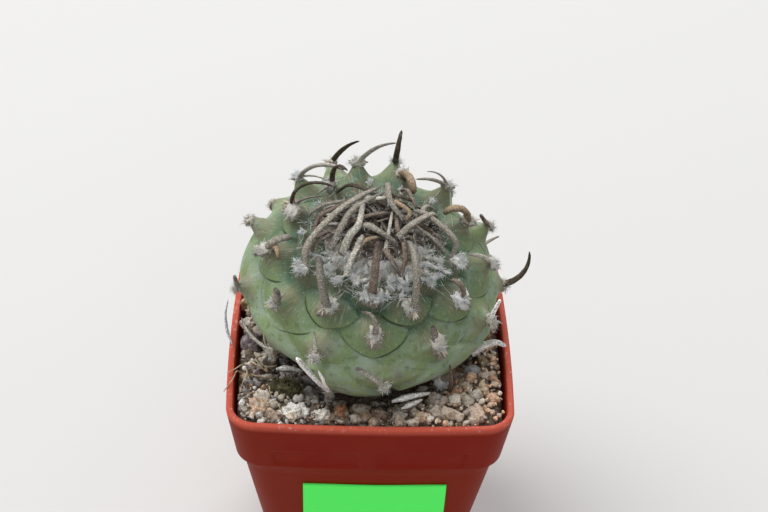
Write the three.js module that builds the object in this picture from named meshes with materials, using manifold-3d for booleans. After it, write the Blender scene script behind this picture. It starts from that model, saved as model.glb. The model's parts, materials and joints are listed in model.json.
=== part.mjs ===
// A small globular cactus in a square plastic pot, in millimetres, +Z up.
// The origin is the middle of the pot's underside, and the pot's front faces -Y.
import * as THREE from 'three';
import { mergeVertices } from 'three/addons/utils/BufferGeometryUtils.js';
import Module from 'manifold-3d';

const wasm = await Module();
wasm.setup();

// Clearance between pieces that touch
const gap = 0.3;

// Pot
const potHeight = 52;
const rimWidth = 55.7;
const rimRounding = 0.6;
const collarHeight = 12.3;
const collarFootWidth = 52.8;
const bodyTopWidth = 50.8;
const baseWidth = 38;
const cornerRadius = 6;
const sideBow = 0.6;
const baseBow = 0.2;
const ledgeRise = 0.8;
const wall = 1.3;
const floorThickness = 1.6;
const drainRadius = 2.4;
const drainSpacing = 21;

// Label
const labelWidth = 28.5;
const labelHeight = 12.5;
const labelThickness = 0.4;
const labelDrop = 18.2;
const labelShift = 1.3;

// Soil
const soilDrop = 4.2;
const grainSpacing = 5.1;
const grainRadius = [2.1, 3];
const grainShelter = 15;

// Cactus body: the surface through the areoles is a squashed superellipsoid
const plantHalfWidth = 27;
const plantHalfHeight = 15.3;
const plantFullness = 2.46;
const plantCentre = [-0.45, 2.7, 63];
const leanForward = 12.9;
const leanRight = 4.6;
const neckAt = [-1, 4.5];
const neckRadius = 9;
const rootDepth = 30;
const rootTipRadius = 2.2;

// Tubercles: areole n sits one divergence angle on from areole n - 1, outward from the crown
const divergence = -138;
const firstAzimuth = -10.4;
const crownPolar = 21.9;
const polarGrowth = 0.0405;
const firstAreole = 4;
const firstFlankAreole = 17;
const lastAreole = 49;
const lastCrownNeighbour = 26;
const scaleHalfWidth = 6.9;
const scaleDrop = 4.9;
const scaleRise = 8.8;
const scaleRelief = 2.1;
const scaleBackRelief = 4.8;
const scaleDepth = 6;

// Spines
const spineRadius = 0.8;
const crownSpineCount = 44;
const woolPolar = 27;
const tuftPolar = [9, 29];
const tuftShorterBehind = 0.3;
const padRadius = 1.2;

const rad = THREE.MathUtils.degToRad;
const up = new THREE.Vector3(0, 0, 1);
const rimTop = potHeight;

// Seeded draws between two values
function seededDraw(seed) {
  let state = seed;
  return (low, high) => {
    state = (state * 16807) % 2147483647;
    return low + ((high - low) * state) / 2147483647;
  };
}

// Solids: closed geometries in and out of the boolean library
function solidOf(geometry) {
  const shell = geometry.clone();
  shell.deleteAttribute('normal');
  shell.deleteAttribute('uv');
  const merged = mergeVertices(shell, 1e-4);
  return new wasm.Manifold(new wasm.Mesh({
    numProp: 3,
    vertProperties: new Float32Array(merged.attributes.position.array),
    triVerts: new Uint32Array(merged.index.array),
  }));
}

function geometryOf(solid) {
  const mesh = solid.getMesh();
  const geometry = new THREE.BufferGeometry();
  geometry.setAttribute('position', new THREE.BufferAttribute(mesh.vertProperties, 3));
  geometry.setIndex(new THREE.BufferAttribute(mesh.triVerts, 1));
  return geometry;
}

function fuse(solids) {
  return solids.reduce((whole, piece) => whole.add(piece));
}

// Keeps the largest body, which drops loose scraps and fills sealed hollows
function mainBody(solid) {
  const bodies = solid.decompose();
  return bodies.reduce((best, body) => (body.volume() > best.volume() ? body : best));
}

// A closed skin over rings of points, with a fan over each end
function loft(rings) {
  const across = rings[0].length;
  const positions = [];
  const faces = [];
  const middle = (ring) => ring.reduce((sum, p) => sum.add(p), new THREE.Vector3()).divideScalar(across);
  rings.forEach((ring) => ring.forEach((p) => positions.push(p.x, p.y, p.z)));
  for (let i = 0; i < rings.length - 1; i += 1) {
    for (let j = 0; j < across; j += 1) {
      const a = i * across + j;
      const b = i * across + ((j + 1) % across);
      faces.push(a, b, b + across, a, b + across, a + across);
    }
  }
  [rings[0], rings[rings.length - 1]].forEach((ring, end) => {
    const hub = positions.length / 3;
    const start = end ? (rings.length - 1) * across : 0;
    const centre = middle(ring);
    positions.push(centre.x, centre.y, centre.z);
    for (let j = 0; j < across; j += 1) {
      const a = start + j;
      const b = start + ((j + 1) % across);
      faces.push(...(end ? [a, b, hub] : [b, a, hub]));
    }
  });
  const geometry = new THREE.BufferGeometry();
  geometry.setAttribute('position', new THREE.Float32BufferAttribute(positions, 3));
  geometry.setIndex(faces);
  return solidOf(outward(geometry));
}

// Turns every face round if the skin was wound inside out
function outward(geometry) {
  const index = geometry.index.array;
  const corner = (i) => new THREE.Vector3().fromBufferAttribute(geometry.attributes.position, index[i]);
  let volume = 0;
  for (let i = 0; i < index.length; i += 3) {
    volume += corner(i).dot(corner(i + 1).cross(corner(i + 2)));
  }
  if (volume < 0) {
    for (let i = 0; i < index.length; i += 3) {
      [index[i], index[i + 1]] = [index[i + 1], index[i]];
    }
  }
  return geometry;
}

// A square with round corners and slightly bowed sides, as a ring of points
function squareRing(width, height, radius, bow) {
  const sideSteps = 4;
  const cornerSteps = 4;
  const flat = width / 2 - radius;
  const ring = [];
  for (let side = 0; side < 4; side += 1) {
    const turn = (side * Math.PI) / 2;
    const place = (x, y) => ring.push(new THREE.Vector3(x, y, height).applyAxisAngle(up, turn));
    for (let i = 0; i < sideSteps; i += 1) {
      const t = i / sideSteps;
      place(-flat + 2 * flat * t, -width / 2 - bow * 4 * t * (1 - t));
    }
    for (let i = 0; i < cornerSteps; i += 1) {
      const angle = -Math.PI / 2 + (i / cornerSteps) * (Math.PI / 2);
      place(flat + radius * Math.cos(angle), -flat + radius * Math.sin(angle));
    }
  }
  return ring;
}

// The pot's outer width below the collar, and its inner width within the collar, at a height
// above the base
const collarFoot = potHeight - collarHeight;
const ledgeTop = collarFoot + wall + ledgeRise;

function bodyWidth(height) {
  return baseWidth + ((bodyTopWidth - baseWidth) * height) / collarFoot;
}

function collarInside(height) {
  const share = (height - ledgeTop) / (potHeight - ledgeTop);
  return collarFootWidth + (rimWidth - collarFootWidth) * share - 2 * wall;
}

function makePot() {
  const edge = 0.5;
  const innerRadius = cornerRadius - wall;
  const outer = (width, height, bow = sideBow) => squareRing(width, height, cornerRadius, bow);
  const inner = (width, height, bow = sideBow) => squareRing(width, height, innerRadius, bow);
  const shell = loft([
    outer(baseWidth - 2 * edge, 0, baseBow),
    outer(baseWidth, edge, baseBow),
    outer(bodyTopWidth, collarFoot),
    outer(collarFootWidth - edge, collarFoot),
    outer(collarFootWidth, collarFoot + edge),
    outer(rimWidth, potHeight - rimRounding),
    outer(rimWidth - 0.6 * rimRounding, potHeight - 0.3 * rimRounding),
    outer(rimWidth - 2 * rimRounding, potHeight),
    inner(rimWidth - 2 * wall, potHeight),
    inner(collarInside(ledgeTop), ledgeTop),
    inner(bodyTopWidth - 2 * wall, collarFoot + wall),
    inner(bodyWidth(floorThickness) - 2 * wall, floorThickness, baseBow),
  ]);
  const drain = new THREE.CylinderGeometry(drainRadius, drainRadius, 4 * floorThickness, 14).rotateX(Math.PI / 2);
  const drains = [[-1, -1], [1, -1], [1, 1], [-1, 1]].map(([x, y]) => (
    solidOf(drain.clone().translate((x * drainSpacing) / 2, (y * drainSpacing) / 2, 0))
  ));
  return mainBody(shell.subtract(fuse(drains)));
}

// The sticker follows the tapered, slightly bowed front of the pot's body
function makeLabel() {
  const steps = 6;
  const front = (x, z) => {
    const width = bodyWidth(z);
    const flat = width / 2 - cornerRadius;
    const bow = baseBow + ((sideBow - baseBow) * z) / collarFoot;
    return -width / 2 - bow * Math.max(0, 1 - (x / flat) ** 2);
  };
  const top = potHeight - labelDrop;
  const row = (z, lift) => {
    const points = [];
    for (let i = 0; i <= steps; i += 1) {
      const x = labelShift + labelWidth * (i / steps - 0.5);
      points.push(new THREE.Vector3(x, front(x, z) - lift, z));
    }
    return points;
  };
  const air = 0.12;
  const section = (z) => [...row(z, air + labelThickness), ...row(z, air).reverse()];
  return loft([section(top - labelHeight), section(top)]);
}

// Plant frame: the body's centre, leaning a little toward the front and the right
const plantFrame = new THREE.Matrix4()
  .makeTranslation(...plantCentre)
  .multiply(new THREE.Matrix4().makeRotationY(rad(leanRight)))
  .multiply(new THREE.Matrix4().makeRotationX(rad(leanForward)));

// The surface through the areoles, by angle round the plant and angle from the crown,
// moved in or out by an inset
function plantPoint(azimuth, polar, inset = 0) {
  const curve = (value) => Math.sign(value) * Math.abs(value) ** (2 / plantFullness);
  const ring = curve(Math.sin(polar));
  return new THREE.Vector3(
    (plantHalfWidth - inset) * ring * Math.sin(azimuth),
    -(plantHalfWidth - inset) * ring * Math.cos(azimuth),
    (plantHalfHeight - inset) * curve(Math.cos(polar)),
  );
}

// A place on that surface with its outward, downward and sideways directions, in the part's frame
function surfaceFrame(azimuth, polar) {
  const step = 0.1;
  const fall = plantPoint(azimuth, polar + step).sub(plantPoint(azimuth, polar - step));
  const sweep = plantPoint(azimuth + step, polar).sub(plantPoint(azimuth - step, polar));
  const perDown = fall.length() / (2 * step);
  const perSide = sweep.length() / (2 * step);
  const down = fall.normalize();
  const side = sweep.normalize();
  const out = new THREE.Vector3().crossVectors(down, side).normalize();
  [down, side, out].forEach((direction) => direction.transformDirection(plantFrame));
  const place = plantPoint(azimuth, polar).applyMatrix4(plantFrame);
  return { polar, azimuth, perDown, perSide, place, down, side, out };
}

function areole(n) {
  return surfaceFrame(rad(firstAzimuth + divergence * n), rad(crownPolar + polarGrowth * n * n));
}

// One tubercle: an egg-shaped scale on the body's curve, highest at its areole, with a lip below it.
// A margin swells it evenly.
function makeTubercle(n, margin = 0) {
  const { polar, azimuth, perDown, perSide } = areole(n);
  const across = 8;
  const size = 0.3 + (0.7 * perSide) / plantHalfWidth;
  const fade = THREE.MathUtils.clamp((rad(122) - polar) / rad(30), 0.5, 1);
  const point = (share, angle, depth) => {
    const low = Math.cos(angle) > 0;
    const reach = low ? scaleDrop : scaleRise;
    const swell = size + margin / scaleDrop;
    const aside = share * swell * scaleHalfWidth * Math.sin(angle);
    const along = share * swell * reach * Math.cos(angle);
    const lowRelief = scaleRelief * share ** 1.5;
    const highRelief = scaleBackRelief * share ** 0.8;
    const blend = 0.5 + 0.5 * Math.tanh(3 * Math.cos(angle));
    const relief = highRelief + (lowRelief - highRelief) * blend;
    return plantPoint(
      azimuth + aside / perSide,
      polar + along / perDown,
      size * fade * relief + depth - margin,
    ).applyMatrix4(plantFrame);
  };
  const ring = (share, depth) => Array.from({ length: across }, (_, i) => (
    point(share, ((i + 0.5) / across) * Math.PI * 2, depth)
  ));
  return loft([ring(0.8, scaleDepth), ring(1, 0), ring(0.5, 0), ring(0.1, 0)]);
}

// A tapered, slightly flat tube through points, thicker at its root by a flare
function makeTube(points, radius, tipShare, flare = 1) {
  const sides = 4;
  const rings = points.map((centre, i) => {
    const before = points[Math.max(0, i - 1)];
    const after = points[Math.min(points.length - 1, i + 1)];
    const along = after.clone().sub(before).normalize();
    const aside = new THREE.Vector3().crossVectors(along, new THREE.Vector3(0.31, 0.17, 0.94)).normalize();
    const over = new THREE.Vector3().crossVectors(along, aside);
    const share = i / (points.length - 1);
    const size = radius * (1 - (1 - tipShare) * share ** 2) * (i < 2 ? flare : 1);
    return Array.from({ length: sides }, (_, j) => {
      const angle = (j / sides) * Math.PI * 2;
      return centre.clone()
        .addScaledVector(aside, size * Math.cos(angle))
        .addScaledVector(over, 0.8 * size * Math.sin(angle));
    });
  });
  return loft(rings);
}

// A spine's path: it leaves its areole at one angle from straight out and bends over toward
// the crown, swinging sideways as it goes (angles in degrees)
function spinePath(frame, { length, start, end, swing }, sunk = 1, steps = 4) {
  const points = [frame.place.clone().addScaledVector(frame.out, -sunk)];
  const here = frame.place.clone();
  points.push(here.clone());
  for (let i = 0; i < steps; i += 1) {
    const bend = rad(start + ((end - start) * (i + 0.5)) / steps);
    const turn = rad(swing);
    const inward = Math.sin(bend);
    here.addScaledVector(frame.out, (length / steps) * Math.cos(bend))
      .addScaledVector(frame.down, (-length / steps) * inward * Math.cos(turn))
      .addScaledVector(frame.side, (length / steps) * inward * Math.sin(turn));
    points.push(here.clone());
  }
  return points;
}

// Spines of the flank, by areole number
const flankSpines = [
  { n: 17, length: 12, start: 40, end: 115, swing: -20, stout: 1.3 },
  { n: 18, length: 15.5, start: 35, end: 155, swing: 16, stout: 1.3 },
  { n: 19, length: 14, start: -10, end: 125, swing: -10 },
  { n: 20, length: 13.5, start: 25, end: 118, swing: -26 },
  { n: 21, length: 11, start: 10, end: 95, swing: -35, stout: 1.3 },
  { n: 22, length: 13, start: 26, end: 72, swing: -30 },
  { n: 23, length: 7, start: 45, end: 50, swing: -35, stout: 1.2 },
  { n: 24, length: 8.5, start: 50, end: 80, swing: 20, stout: 1.2 },
  { n: 25, length: 12, start: 80, end: 87, swing: 5 },
  { n: 26, length: 10, start: 0, end: 150, swing: -22, stout: 1.1 },
  { n: 27, length: 11, start: 50, end: 105, swing: -13 },
  { n: 28, length: 10.5, start: 70, end: 75, swing: -25, stout: 1.1 },
  { n: 29, length: 7, start: 33, end: 35, swing: 17 },
  { n: 30, length: 11, start: 18, end: 80, swing: 0, stout: 1.1 },
  { n: 31, length: 6, start: 46, end: 50, swing: -24, stout: 1.3 },
  { n: 32, length: 2, start: 35, end: 60, swing: 0 },
  { n: 33, length: 8.5, start: 80, end: 84, swing: -15 },
  { n: 34, length: 8.5, start: 40, end: 45, swing: 3, stout: 0.75 },
  { n: 35, length: 9, start: 10, end: 80, swing: -30 },
  { n: 36, length: 7, start: 50, end: 75, swing: 10 },
  { n: 37, length: 8, start: 58, end: 62, swing: 28, stout: 0.75 },
  { n: 39, length: 12.5, start: 68, end: 72, swing: -34, stout: 1.1 },
  { n: 41, length: 9, start: 30, end: 105, swing: 15 },
  { n: 42, length: 9, start: 30, end: 125, swing: -10, stout: 0.75 },
  { n: 44, length: 9, start: 80, end: 108, swing: -17, stout: 0.75 },
  { n: 47, length: 13.5, start: 98, end: 108, swing: -29, stout: 1.3 },
  { n: 49, length: 7, start: 84, end: 52, swing: 35 },
];
const otherSpine = { length: 2.5, start: 35, end: 75, swing: 0 };

// Spines of the crown that show one by one; the rest of the tangle is drawn
const crownSpines = [
  { n: 13, length: 11, start: 35, end: 75, swing: 0 },
  { n: 14, length: 14, start: 10, end: 85, swing: 14 },
  { n: 15, length: 13.5, start: 20, end: 113, swing: 26 },
  { n: 16, length: 16.5, start: 16, end: 97, swing: -14 },
];

// The tubes of those spines; a margin swells them evenly
function makeFlankSpine(n, margin = 0) {
  const { stout = 1, ...shape } = flankSpines.find((spine) => spine.n === n) ?? otherSpine;
  return makeTube(spinePath(areole(n), shape), spineRadius * stout + margin, 0.35, padRadius / spineRadius);
}

// The thick root in the soil, widening into the body above it. A margin swells it for its hole.
function makeRoot(margin = 0) {
  const rootTop = rimTop + 4;
  const soilLevel = rimTop - soilDrop;
  const profile = [
    [0, rootTop - rootDepth - margin],
    [rootTipRadius, rootTop - rootDepth - margin],
    [neckRadius * 0.75, rootTop - rootDepth * 0.45],
    [neckRadius, soilLevel],
    [neckRadius + 2, soilLevel + 2.5],
    [neckRadius + 7, rootTop],
    [0, rootTop + 1],
  ].map(([radius, height]) => new THREE.Vector2(radius > 0 ? radius + margin : 0, height));
  return solidOf(outward(new THREE.LatheGeometry(profile, 14).rotateX(Math.PI / 2).translate(...neckAt, 0)));
}

function makeCactus() {
  const aroundSteps = 26;
  const coreInset = 3.2;
  const coreRings = [];
  for (let polar = 8; polar <= 160; polar += 19) {
    coreRings.push(Array.from({ length: aroundSteps }, (_, i) => (
      plantPoint((-i / aroundSteps) * Math.PI * 2, rad(polar), coreInset).applyMatrix4(plantFrame)
    )));
  }
  const pieces = [loft(coreRings), makeRoot()];
  for (let n = firstAreole; n <= lastAreole; n += 1) {
    pieces.push(makeTubercle(n));
  }
  for (let n = firstFlankAreole; n <= lastAreole; n += 1) {
    pieces.push(makeFlankSpine(n));
  }
  return mainBody(fuse(pieces));
}

// The crown's wool, just off the tubercles under it, and the youngest spines bent over it in a tangle
function makeCrownTuft() {
  const draw = seededDraw(20411);
  const around = 10;
  const spread = (azimuth) => 1 - tuftShorterBehind * Math.max(0, -Math.cos(azimuth));
  const ring = (share, lift) => Array.from({ length: around }, (_, i) => {
    const azimuth = (i / around) * Math.PI * 2;
    const polar = rad(woolPolar * spread(azimuth) * share * draw(0.93, 1.07));
    return plantPoint(azimuth, polar, -lift).applyMatrix4(plantFrame);
  });
  const pieces = [loft([ring(0.4, gap), ring(0.97, gap), ring(1, 0.9), ring(0.5, 1.1)])];
  crownSpines.forEach(({ n, ...shape }) => {
    const frame = areole(n);
    const radius = spineRadius * draw(1, 1.2);
    frame.place.addScaledVector(frame.out, gap + radius);
    pieces.push(makeTube(spinePath(frame, shape, 0), radius, 0.5));
  });
  for (let i = 0; i < crownSpineCount; i += 1) {
    const reach = tuftPolar[0] + (tuftPolar[1] - tuftPolar[0]) * Math.sqrt((i + 0.5) / crownSpineCount);
    const azimuth = rad(divergence * i + draw(-12, 12));
    const frame = surfaceFrame(azimuth, rad(reach * spread(azimuth)));
    const radius = spineRadius * draw(1, 1.3);
    const shape = { length: draw(9.5, 13.5), start: draw(15, 40), end: draw(85, 120), swing: draw(-45, 45) };
    frame.place.addScaledVector(frame.out, gap + radius);
    pieces.push(makeTube(spinePath(frame, shape, 0, 3), radius, 0.5));
  }
  const taken = [];
  for (let n = firstAreole; n <= lastCrownNeighbour; n += 1) {
    taken.push(makeTubercle(n, gap));
    if (n >= firstFlankAreole) {
      taken.push(makeFlankSpine(n, gap));
    }
  }
  return mainBody(fuse(pieces).subtract(fuse(taken)));
}

// Loose stones: a name, a place on the soil, radii and colour. A margin makes the soil's seat for one.
const stones = [
  { name: 'white_crusted_clump_1', at: [-14.6, -21.3, -2.6], radii: [3, 2.3, 2.1], colour: 0xc9c5b8 },
  { name: 'white_crusted_clump_2', at: [-9.4, -22.4, -2.9], radii: [2.1, 2, 1.9], colour: 0xcfc8b4 },
  { name: 'brown_stone', at: [-5.6, -21.6, -3], radii: [1.5, 2.2, 2], colour: 0x7d4a38 },
  { name: 'tan_clump', at: [-21, -19, -2.8], radii: [2.4, 2.1, 1.8], colour: 0xc2a284 },
  { name: 'grey_stone', at: [-23, -4.2, -1.2], radii: [2.1, 2.5, 2.6], colour: 0x6d6068 },
  { name: 'lilac_pebble', at: [20.6, -8.8, -3], radii: [1.9, 1.8, 1.6], colour: 0x8f8b96 },
];

function makeStone({ at, radii }, margin = 0) {
  const [x, y, z] = at;
  const stone = new THREE.IcosahedronGeometry(1, 1);
  stone.scale(...radii.map((radius) => radius + margin));
  return solidOf(stone.translate(x, y, rimTop + z));
}

// Old white spines lying loose: points along each, above or below the rim
const fallenSpines = [
  [[-18.6, -8.7, -2.3], [-16.2, -9.1, -2.2], [-13.8, -9.7, -2.3]],
  [[4.2, -18.4, -2], [8, -17.6, -1.6], [12, -16.2, -1.6]],
  [[6, -20.8, -2.2], [8.4, -19.4, -2], [10.2, -18.1, -1.9]],
  [[-27.7, -5.4, 0.9], [-28.9, -2.4, 2], [-29.4, 0.6, 3.8], [-29, 3, 5.6]],
];

function makeFallenSpine(path, margin = 0) {
  const points = path.map(([x, y, z]) => new THREE.Vector3(x, y, rimTop + z));
  const last = points.length - 1;
  const stretch = points[last].clone().sub(points[0]).setLength(margin);
  points[0].sub(stretch);
  points[last].add(stretch);
  return makeTube(points, 0.6 + margin, 0.6);
}

// A small dried moss tuft: a low lump with a few short blades
const mossAt = [-17.6, -15.4, -3.4];

function makeMoss(margin = 0) {
  const draw = seededDraw(811);
  const [x, y, z] = mossAt;
  const centre = new THREE.Vector3(x, y, rimTop + z);
  const lump = new THREE.IcosahedronGeometry(1, 1).scale(2.6 + margin, 2.3 + margin, 1.9 + margin);
  const pieces = [solidOf(lump.translate(...centre.toArray()))];
  for (let i = 0; i < 6; i += 1) {
    const angle = rad(60 * i + draw(-12, 12));
    const lean = draw(1, 2.2);
    const points = [0, 0.5, 1].map((share) => new THREE.Vector3(
      centre.x + share * lean * Math.cos(angle),
      centre.y + share * lean * Math.sin(angle),
      centre.z + share * draw(2.6, 3.2),
    ));
    pieces.push(makeTube(points, 0.4 + margin, 0.6));
  }
  return mainBody(fuse(pieces));
}

// The fill: a block inside the pot with grit fused to its top, and seats for what lies in it
function makeSoil() {
  const draw = seededDraw(3377);
  const level = rimTop - soilDrop;
  const foot = floorThickness + gap;
  const ring = (insideWidth, height, bow = sideBow) => (
    squareRing(insideWidth - 2 * gap, height, cornerRadius - wall - gap, bow)
  );
  const block = loft([
    ring(bodyWidth(foot) - 2 * wall, foot, baseBow),
    ring(bodyTopWidth - 2 * wall, collarFoot + wall),
    ring(bodyTopWidth - 2 * wall, collarFoot + wall + gap),
    ring(collarInside(level), level),
  ]);
  const space = loft([ring(collarInside(ledgeTop), ledgeTop), ring(collarInside(rimTop), rimTop)]);
  const grains = [];
  const cells = Math.floor(rimWidth / grainSpacing);
  for (let i = 0; i < cells * cells; i += 1) {
    const x = ((i % cells) - (cells - 1) / 2) * grainSpacing + draw(-0.9, 0.9);
    const y = (Math.floor(i / cells) - (cells - 1) / 2) * grainSpacing + draw(-0.9, 0.9);
    const grain = new THREE.OctahedronGeometry(draw(...grainRadius), 0);
    grain.scale(draw(0.85, 1.2), draw(0.85, 1.2), draw(0.7, 1));
    grain.rotateX(draw(0, 3)).rotateZ(draw(0, 3));
    if (Math.hypot(x, y) > grainShelter) {
      grains.push(solidOf(grain.translate(x, y, level + draw(-0.6, 0.8))));
    }
  }
  const plantRoom = [];
  for (let polar = 60; polar <= 168; polar += 18) {
    plantRoom.push(Array.from({ length: 16 }, (_, i) => (
      plantPoint((-i / 16) * Math.PI * 2, rad(polar), -3 * gap).applyMatrix4(plantFrame)
    )));
  }
  const seats = [
    loft(plantRoom),
    makeRoot(gap),
    ...stones.map((stone) => makeStone(stone, gap)),
    ...fallenSpines.map((path) => makeFallenSpine(path, gap)),
    makeMoss(gap),
  ];
  return mainBody(fuse([block, ...grains.map((grain) => grain.intersect(space))]).subtract(fuse(seats)));
}

const plant = new THREE.Group();

function addPart(name, solid, color, roughness) {
  const material = new THREE.MeshStandardMaterial({ color, roughness, metalness: 0, flatShading: true });
  const mesh = new THREE.Mesh(geometryOf(solid), material);
  mesh.name = name;
  plant.add(mesh);
}

addPart('pot', makePot(), 0x8e2c1c, 0.45);
addPart('label', makeLabel(), 0x55e65f, 0.7);
addPart('soil', makeSoil(), 0x8d8072, 0.95);
addPart('cactus', makeCactus(), 0x6f8a6a, 0.6);
addPart('crown_tuft', makeCrownTuft(), 0x8a7a6e, 0.9);
addPart('moss_tuft', makeMoss(), 0x6b6446, 0.95);
stones.forEach((stone) => addPart(stone.name, makeStone(stone), stone.colour, 0.9));
fallenSpines.forEach((path, i) => addPart(`fallen_spine_${i + 1}`, makeFallenSpine(path), 0xd9d6cf, 0.8));

export default plant;
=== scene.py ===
import json
import math

import bmesh
import bpy
import numpy as np
from mathutils import Matrix, Vector, noise


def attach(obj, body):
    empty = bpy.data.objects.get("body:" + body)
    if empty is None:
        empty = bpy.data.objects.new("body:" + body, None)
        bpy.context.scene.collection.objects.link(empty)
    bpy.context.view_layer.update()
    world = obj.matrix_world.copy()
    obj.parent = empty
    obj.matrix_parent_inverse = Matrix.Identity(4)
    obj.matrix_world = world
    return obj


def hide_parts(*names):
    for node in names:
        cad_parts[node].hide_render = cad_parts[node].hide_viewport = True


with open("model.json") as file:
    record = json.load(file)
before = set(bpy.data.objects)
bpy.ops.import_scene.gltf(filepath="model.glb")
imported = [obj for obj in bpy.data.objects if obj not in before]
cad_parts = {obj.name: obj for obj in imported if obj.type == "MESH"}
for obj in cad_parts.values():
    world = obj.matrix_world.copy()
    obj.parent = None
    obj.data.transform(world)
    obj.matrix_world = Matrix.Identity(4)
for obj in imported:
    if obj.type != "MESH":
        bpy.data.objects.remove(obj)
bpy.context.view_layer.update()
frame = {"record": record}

# Pieces are modelled in millimetres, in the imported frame, and scaled to metres as their meshes are made
mm = 0.001
rimTop = 52
print("stage: frame loaded")


# Small maths helpers
def rad(degrees):
    return np.radians(degrees)


def smooth(low, high, value):
    t = np.clip((value - low) / (high - low), 0, 1)
    return t * t * (3 - 2 * t)


def unit(vectors):
    vectors = np.asarray(vectors, float)
    return vectors / np.maximum(np.linalg.norm(vectors, axis=-1, keepdims=True), 1e-9)


def roundAngles(count):
    # angles evenly once round
    return np.arange(count) / count * 2 * np.pi


def lengthAlong(path):
    # how far along a path each of its points lies
    return np.concatenate([[0], np.cumsum(np.linalg.norm(np.diff(path, axis=0), axis=1))])


def noiseAt(points, size, seed=0.0):
    # smooth noise about -1..1, with features of about the given size
    return np.array([noise.noise(Vector(p)) for p in np.asarray(points) / size + seed])


def curveThrough(points, steps):
    # smooth curve through a few points
    points = np.asarray(points, float)
    ends = np.vstack([2 * points[0] - points[1], points, 2 * points[-1] - points[-2]])
    spans = len(points) - 1
    made = []
    for t in np.linspace(0, spans, steps + 1):
        i = min(int(t), spans - 1)
        u = t - i
        a, b, c, d = ends[i:i + 4]
        made.append(0.5 * (2 * b + (c - a) * u + (2 * a - 5 * b + 4 * c - d) * u ** 2
                           + (3 * b - a - 3 * c + d) * u ** 3))
    return np.array(made)


# A shader socket that adds its own Math nodes when it meets an operator
class Wire:
    def __init__(self, finish, socket):
        self.finish = finish
        self.socket = socket

    def maths(self, operation, first, second, clamp=False):
        return self.finish.node("Math", {"operation": operation, "use_clamp": clamp}, {0: first, 1: second})

    def __add__(self, other):
        return self.maths("ADD", self, other)

    def __radd__(self, other):
        return self.maths("ADD", other, self)

    def __sub__(self, other):
        return self.maths("SUBTRACT", self, other)

    def __rsub__(self, other):
        return self.maths("SUBTRACT", other, self)

    def __mul__(self, other):
        return self.maths("MULTIPLY", self, other)

    def __rmul__(self, other):
        return self.maths("MULTIPLY", other, self)

    def clipped(self):
        return self.maths("ADD", self, 0.0, clamp=True)

    def between(self, low, high):
        # 0 below low, 1 above high, smooth between
        settings = {"interpolation_type": "SMOOTHSTEP"}
        return self.finish.node("MapRange", settings, {0: self, 1: low, 2: high})


# A material on the Principled shader, wired by Python expressions
class Finish:
    def __init__(self, name, uniform):
        self.material = bpy.data.materials.new(name)
        self.material.use_nodes = True
        self.tree = self.material.node_tree
        self.shader = self.tree.nodes["Principled BSDF"]
        for socket, value in uniform.items():
            self.shader.inputs[socket].default_value = value

    def node(self, kind, settings=None, inputs=None, output=0):
        made = self.tree.nodes.new("ShaderNode" + kind)
        for key, value in (settings or {}).items():
            setattr(made, key, value)
        for key, value in (inputs or {}).items():
            if isinstance(value, Wire):
                self.tree.links.new(value.socket, made.inputs[key])
            else:
                made.inputs[key].default_value = value
        return Wire(self, made.outputs[output])

    def place(self):
        return self.node("TexCoord", output=3)

    def painted(self, name, output=2):
        return self.node("Attribute", {"attribute_name": name}, output=output)

    def noise(self, size, detail=3.0, roughness=0.5):
        # size in millimetres
        inputs = {"Vector": self.place(), "Scale": 1000 / size, "Detail": detail, "Roughness": roughness}
        return self.node("TexNoise", None, inputs)

    def mix(self, factor, first, second, blend="MIX"):
        first = first if isinstance(first, Wire) else (*first, 1)
        second = second if isinstance(second, Wire) else (*second, 1)
        settings = {"data_type": "RGBA", "blend_type": blend}
        return self.node("Mix", settings, {0: factor, 6: first, 7: second}, output=2)

    def feed(self, socket, wire):
        self.tree.links.new(wire.socket, self.shader.inputs[socket])

    def bump(self, height, depth, strength=1.0):
        # depth in millimetres
        inputs = {"Height": height, "Distance": depth * mm, "Strength": strength}
        self.feed("Normal", self.node("Bump", None, inputs))


def loftFaces(rings, around):
    # quads between rings that go round their path, and a fan at each end
    i, j = np.meshgrid(np.arange(rings - 1), np.arange(around), indexing="ij")
    a = (i * around + j).ravel()
    b = (i * around + (j + 1) % around).ravel()
    quads = np.stack([a, b, b + around, a + around], 1)
    start = np.arange(around)
    after = (start + 1) % around
    last = (rings - 1) * around
    hub = rings * around
    near = np.stack([after, start, np.full(around, hub)], 1)
    far = np.stack([start + last, after + last, np.full(around, hub + 1)], 1)
    return [quads, near, far]


def loftPoints(rings):
    rings = np.asarray(rings)
    return np.vstack([rings.reshape(-1, 3), rings[0].mean(0), rings[-1].mean(0)])


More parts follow.
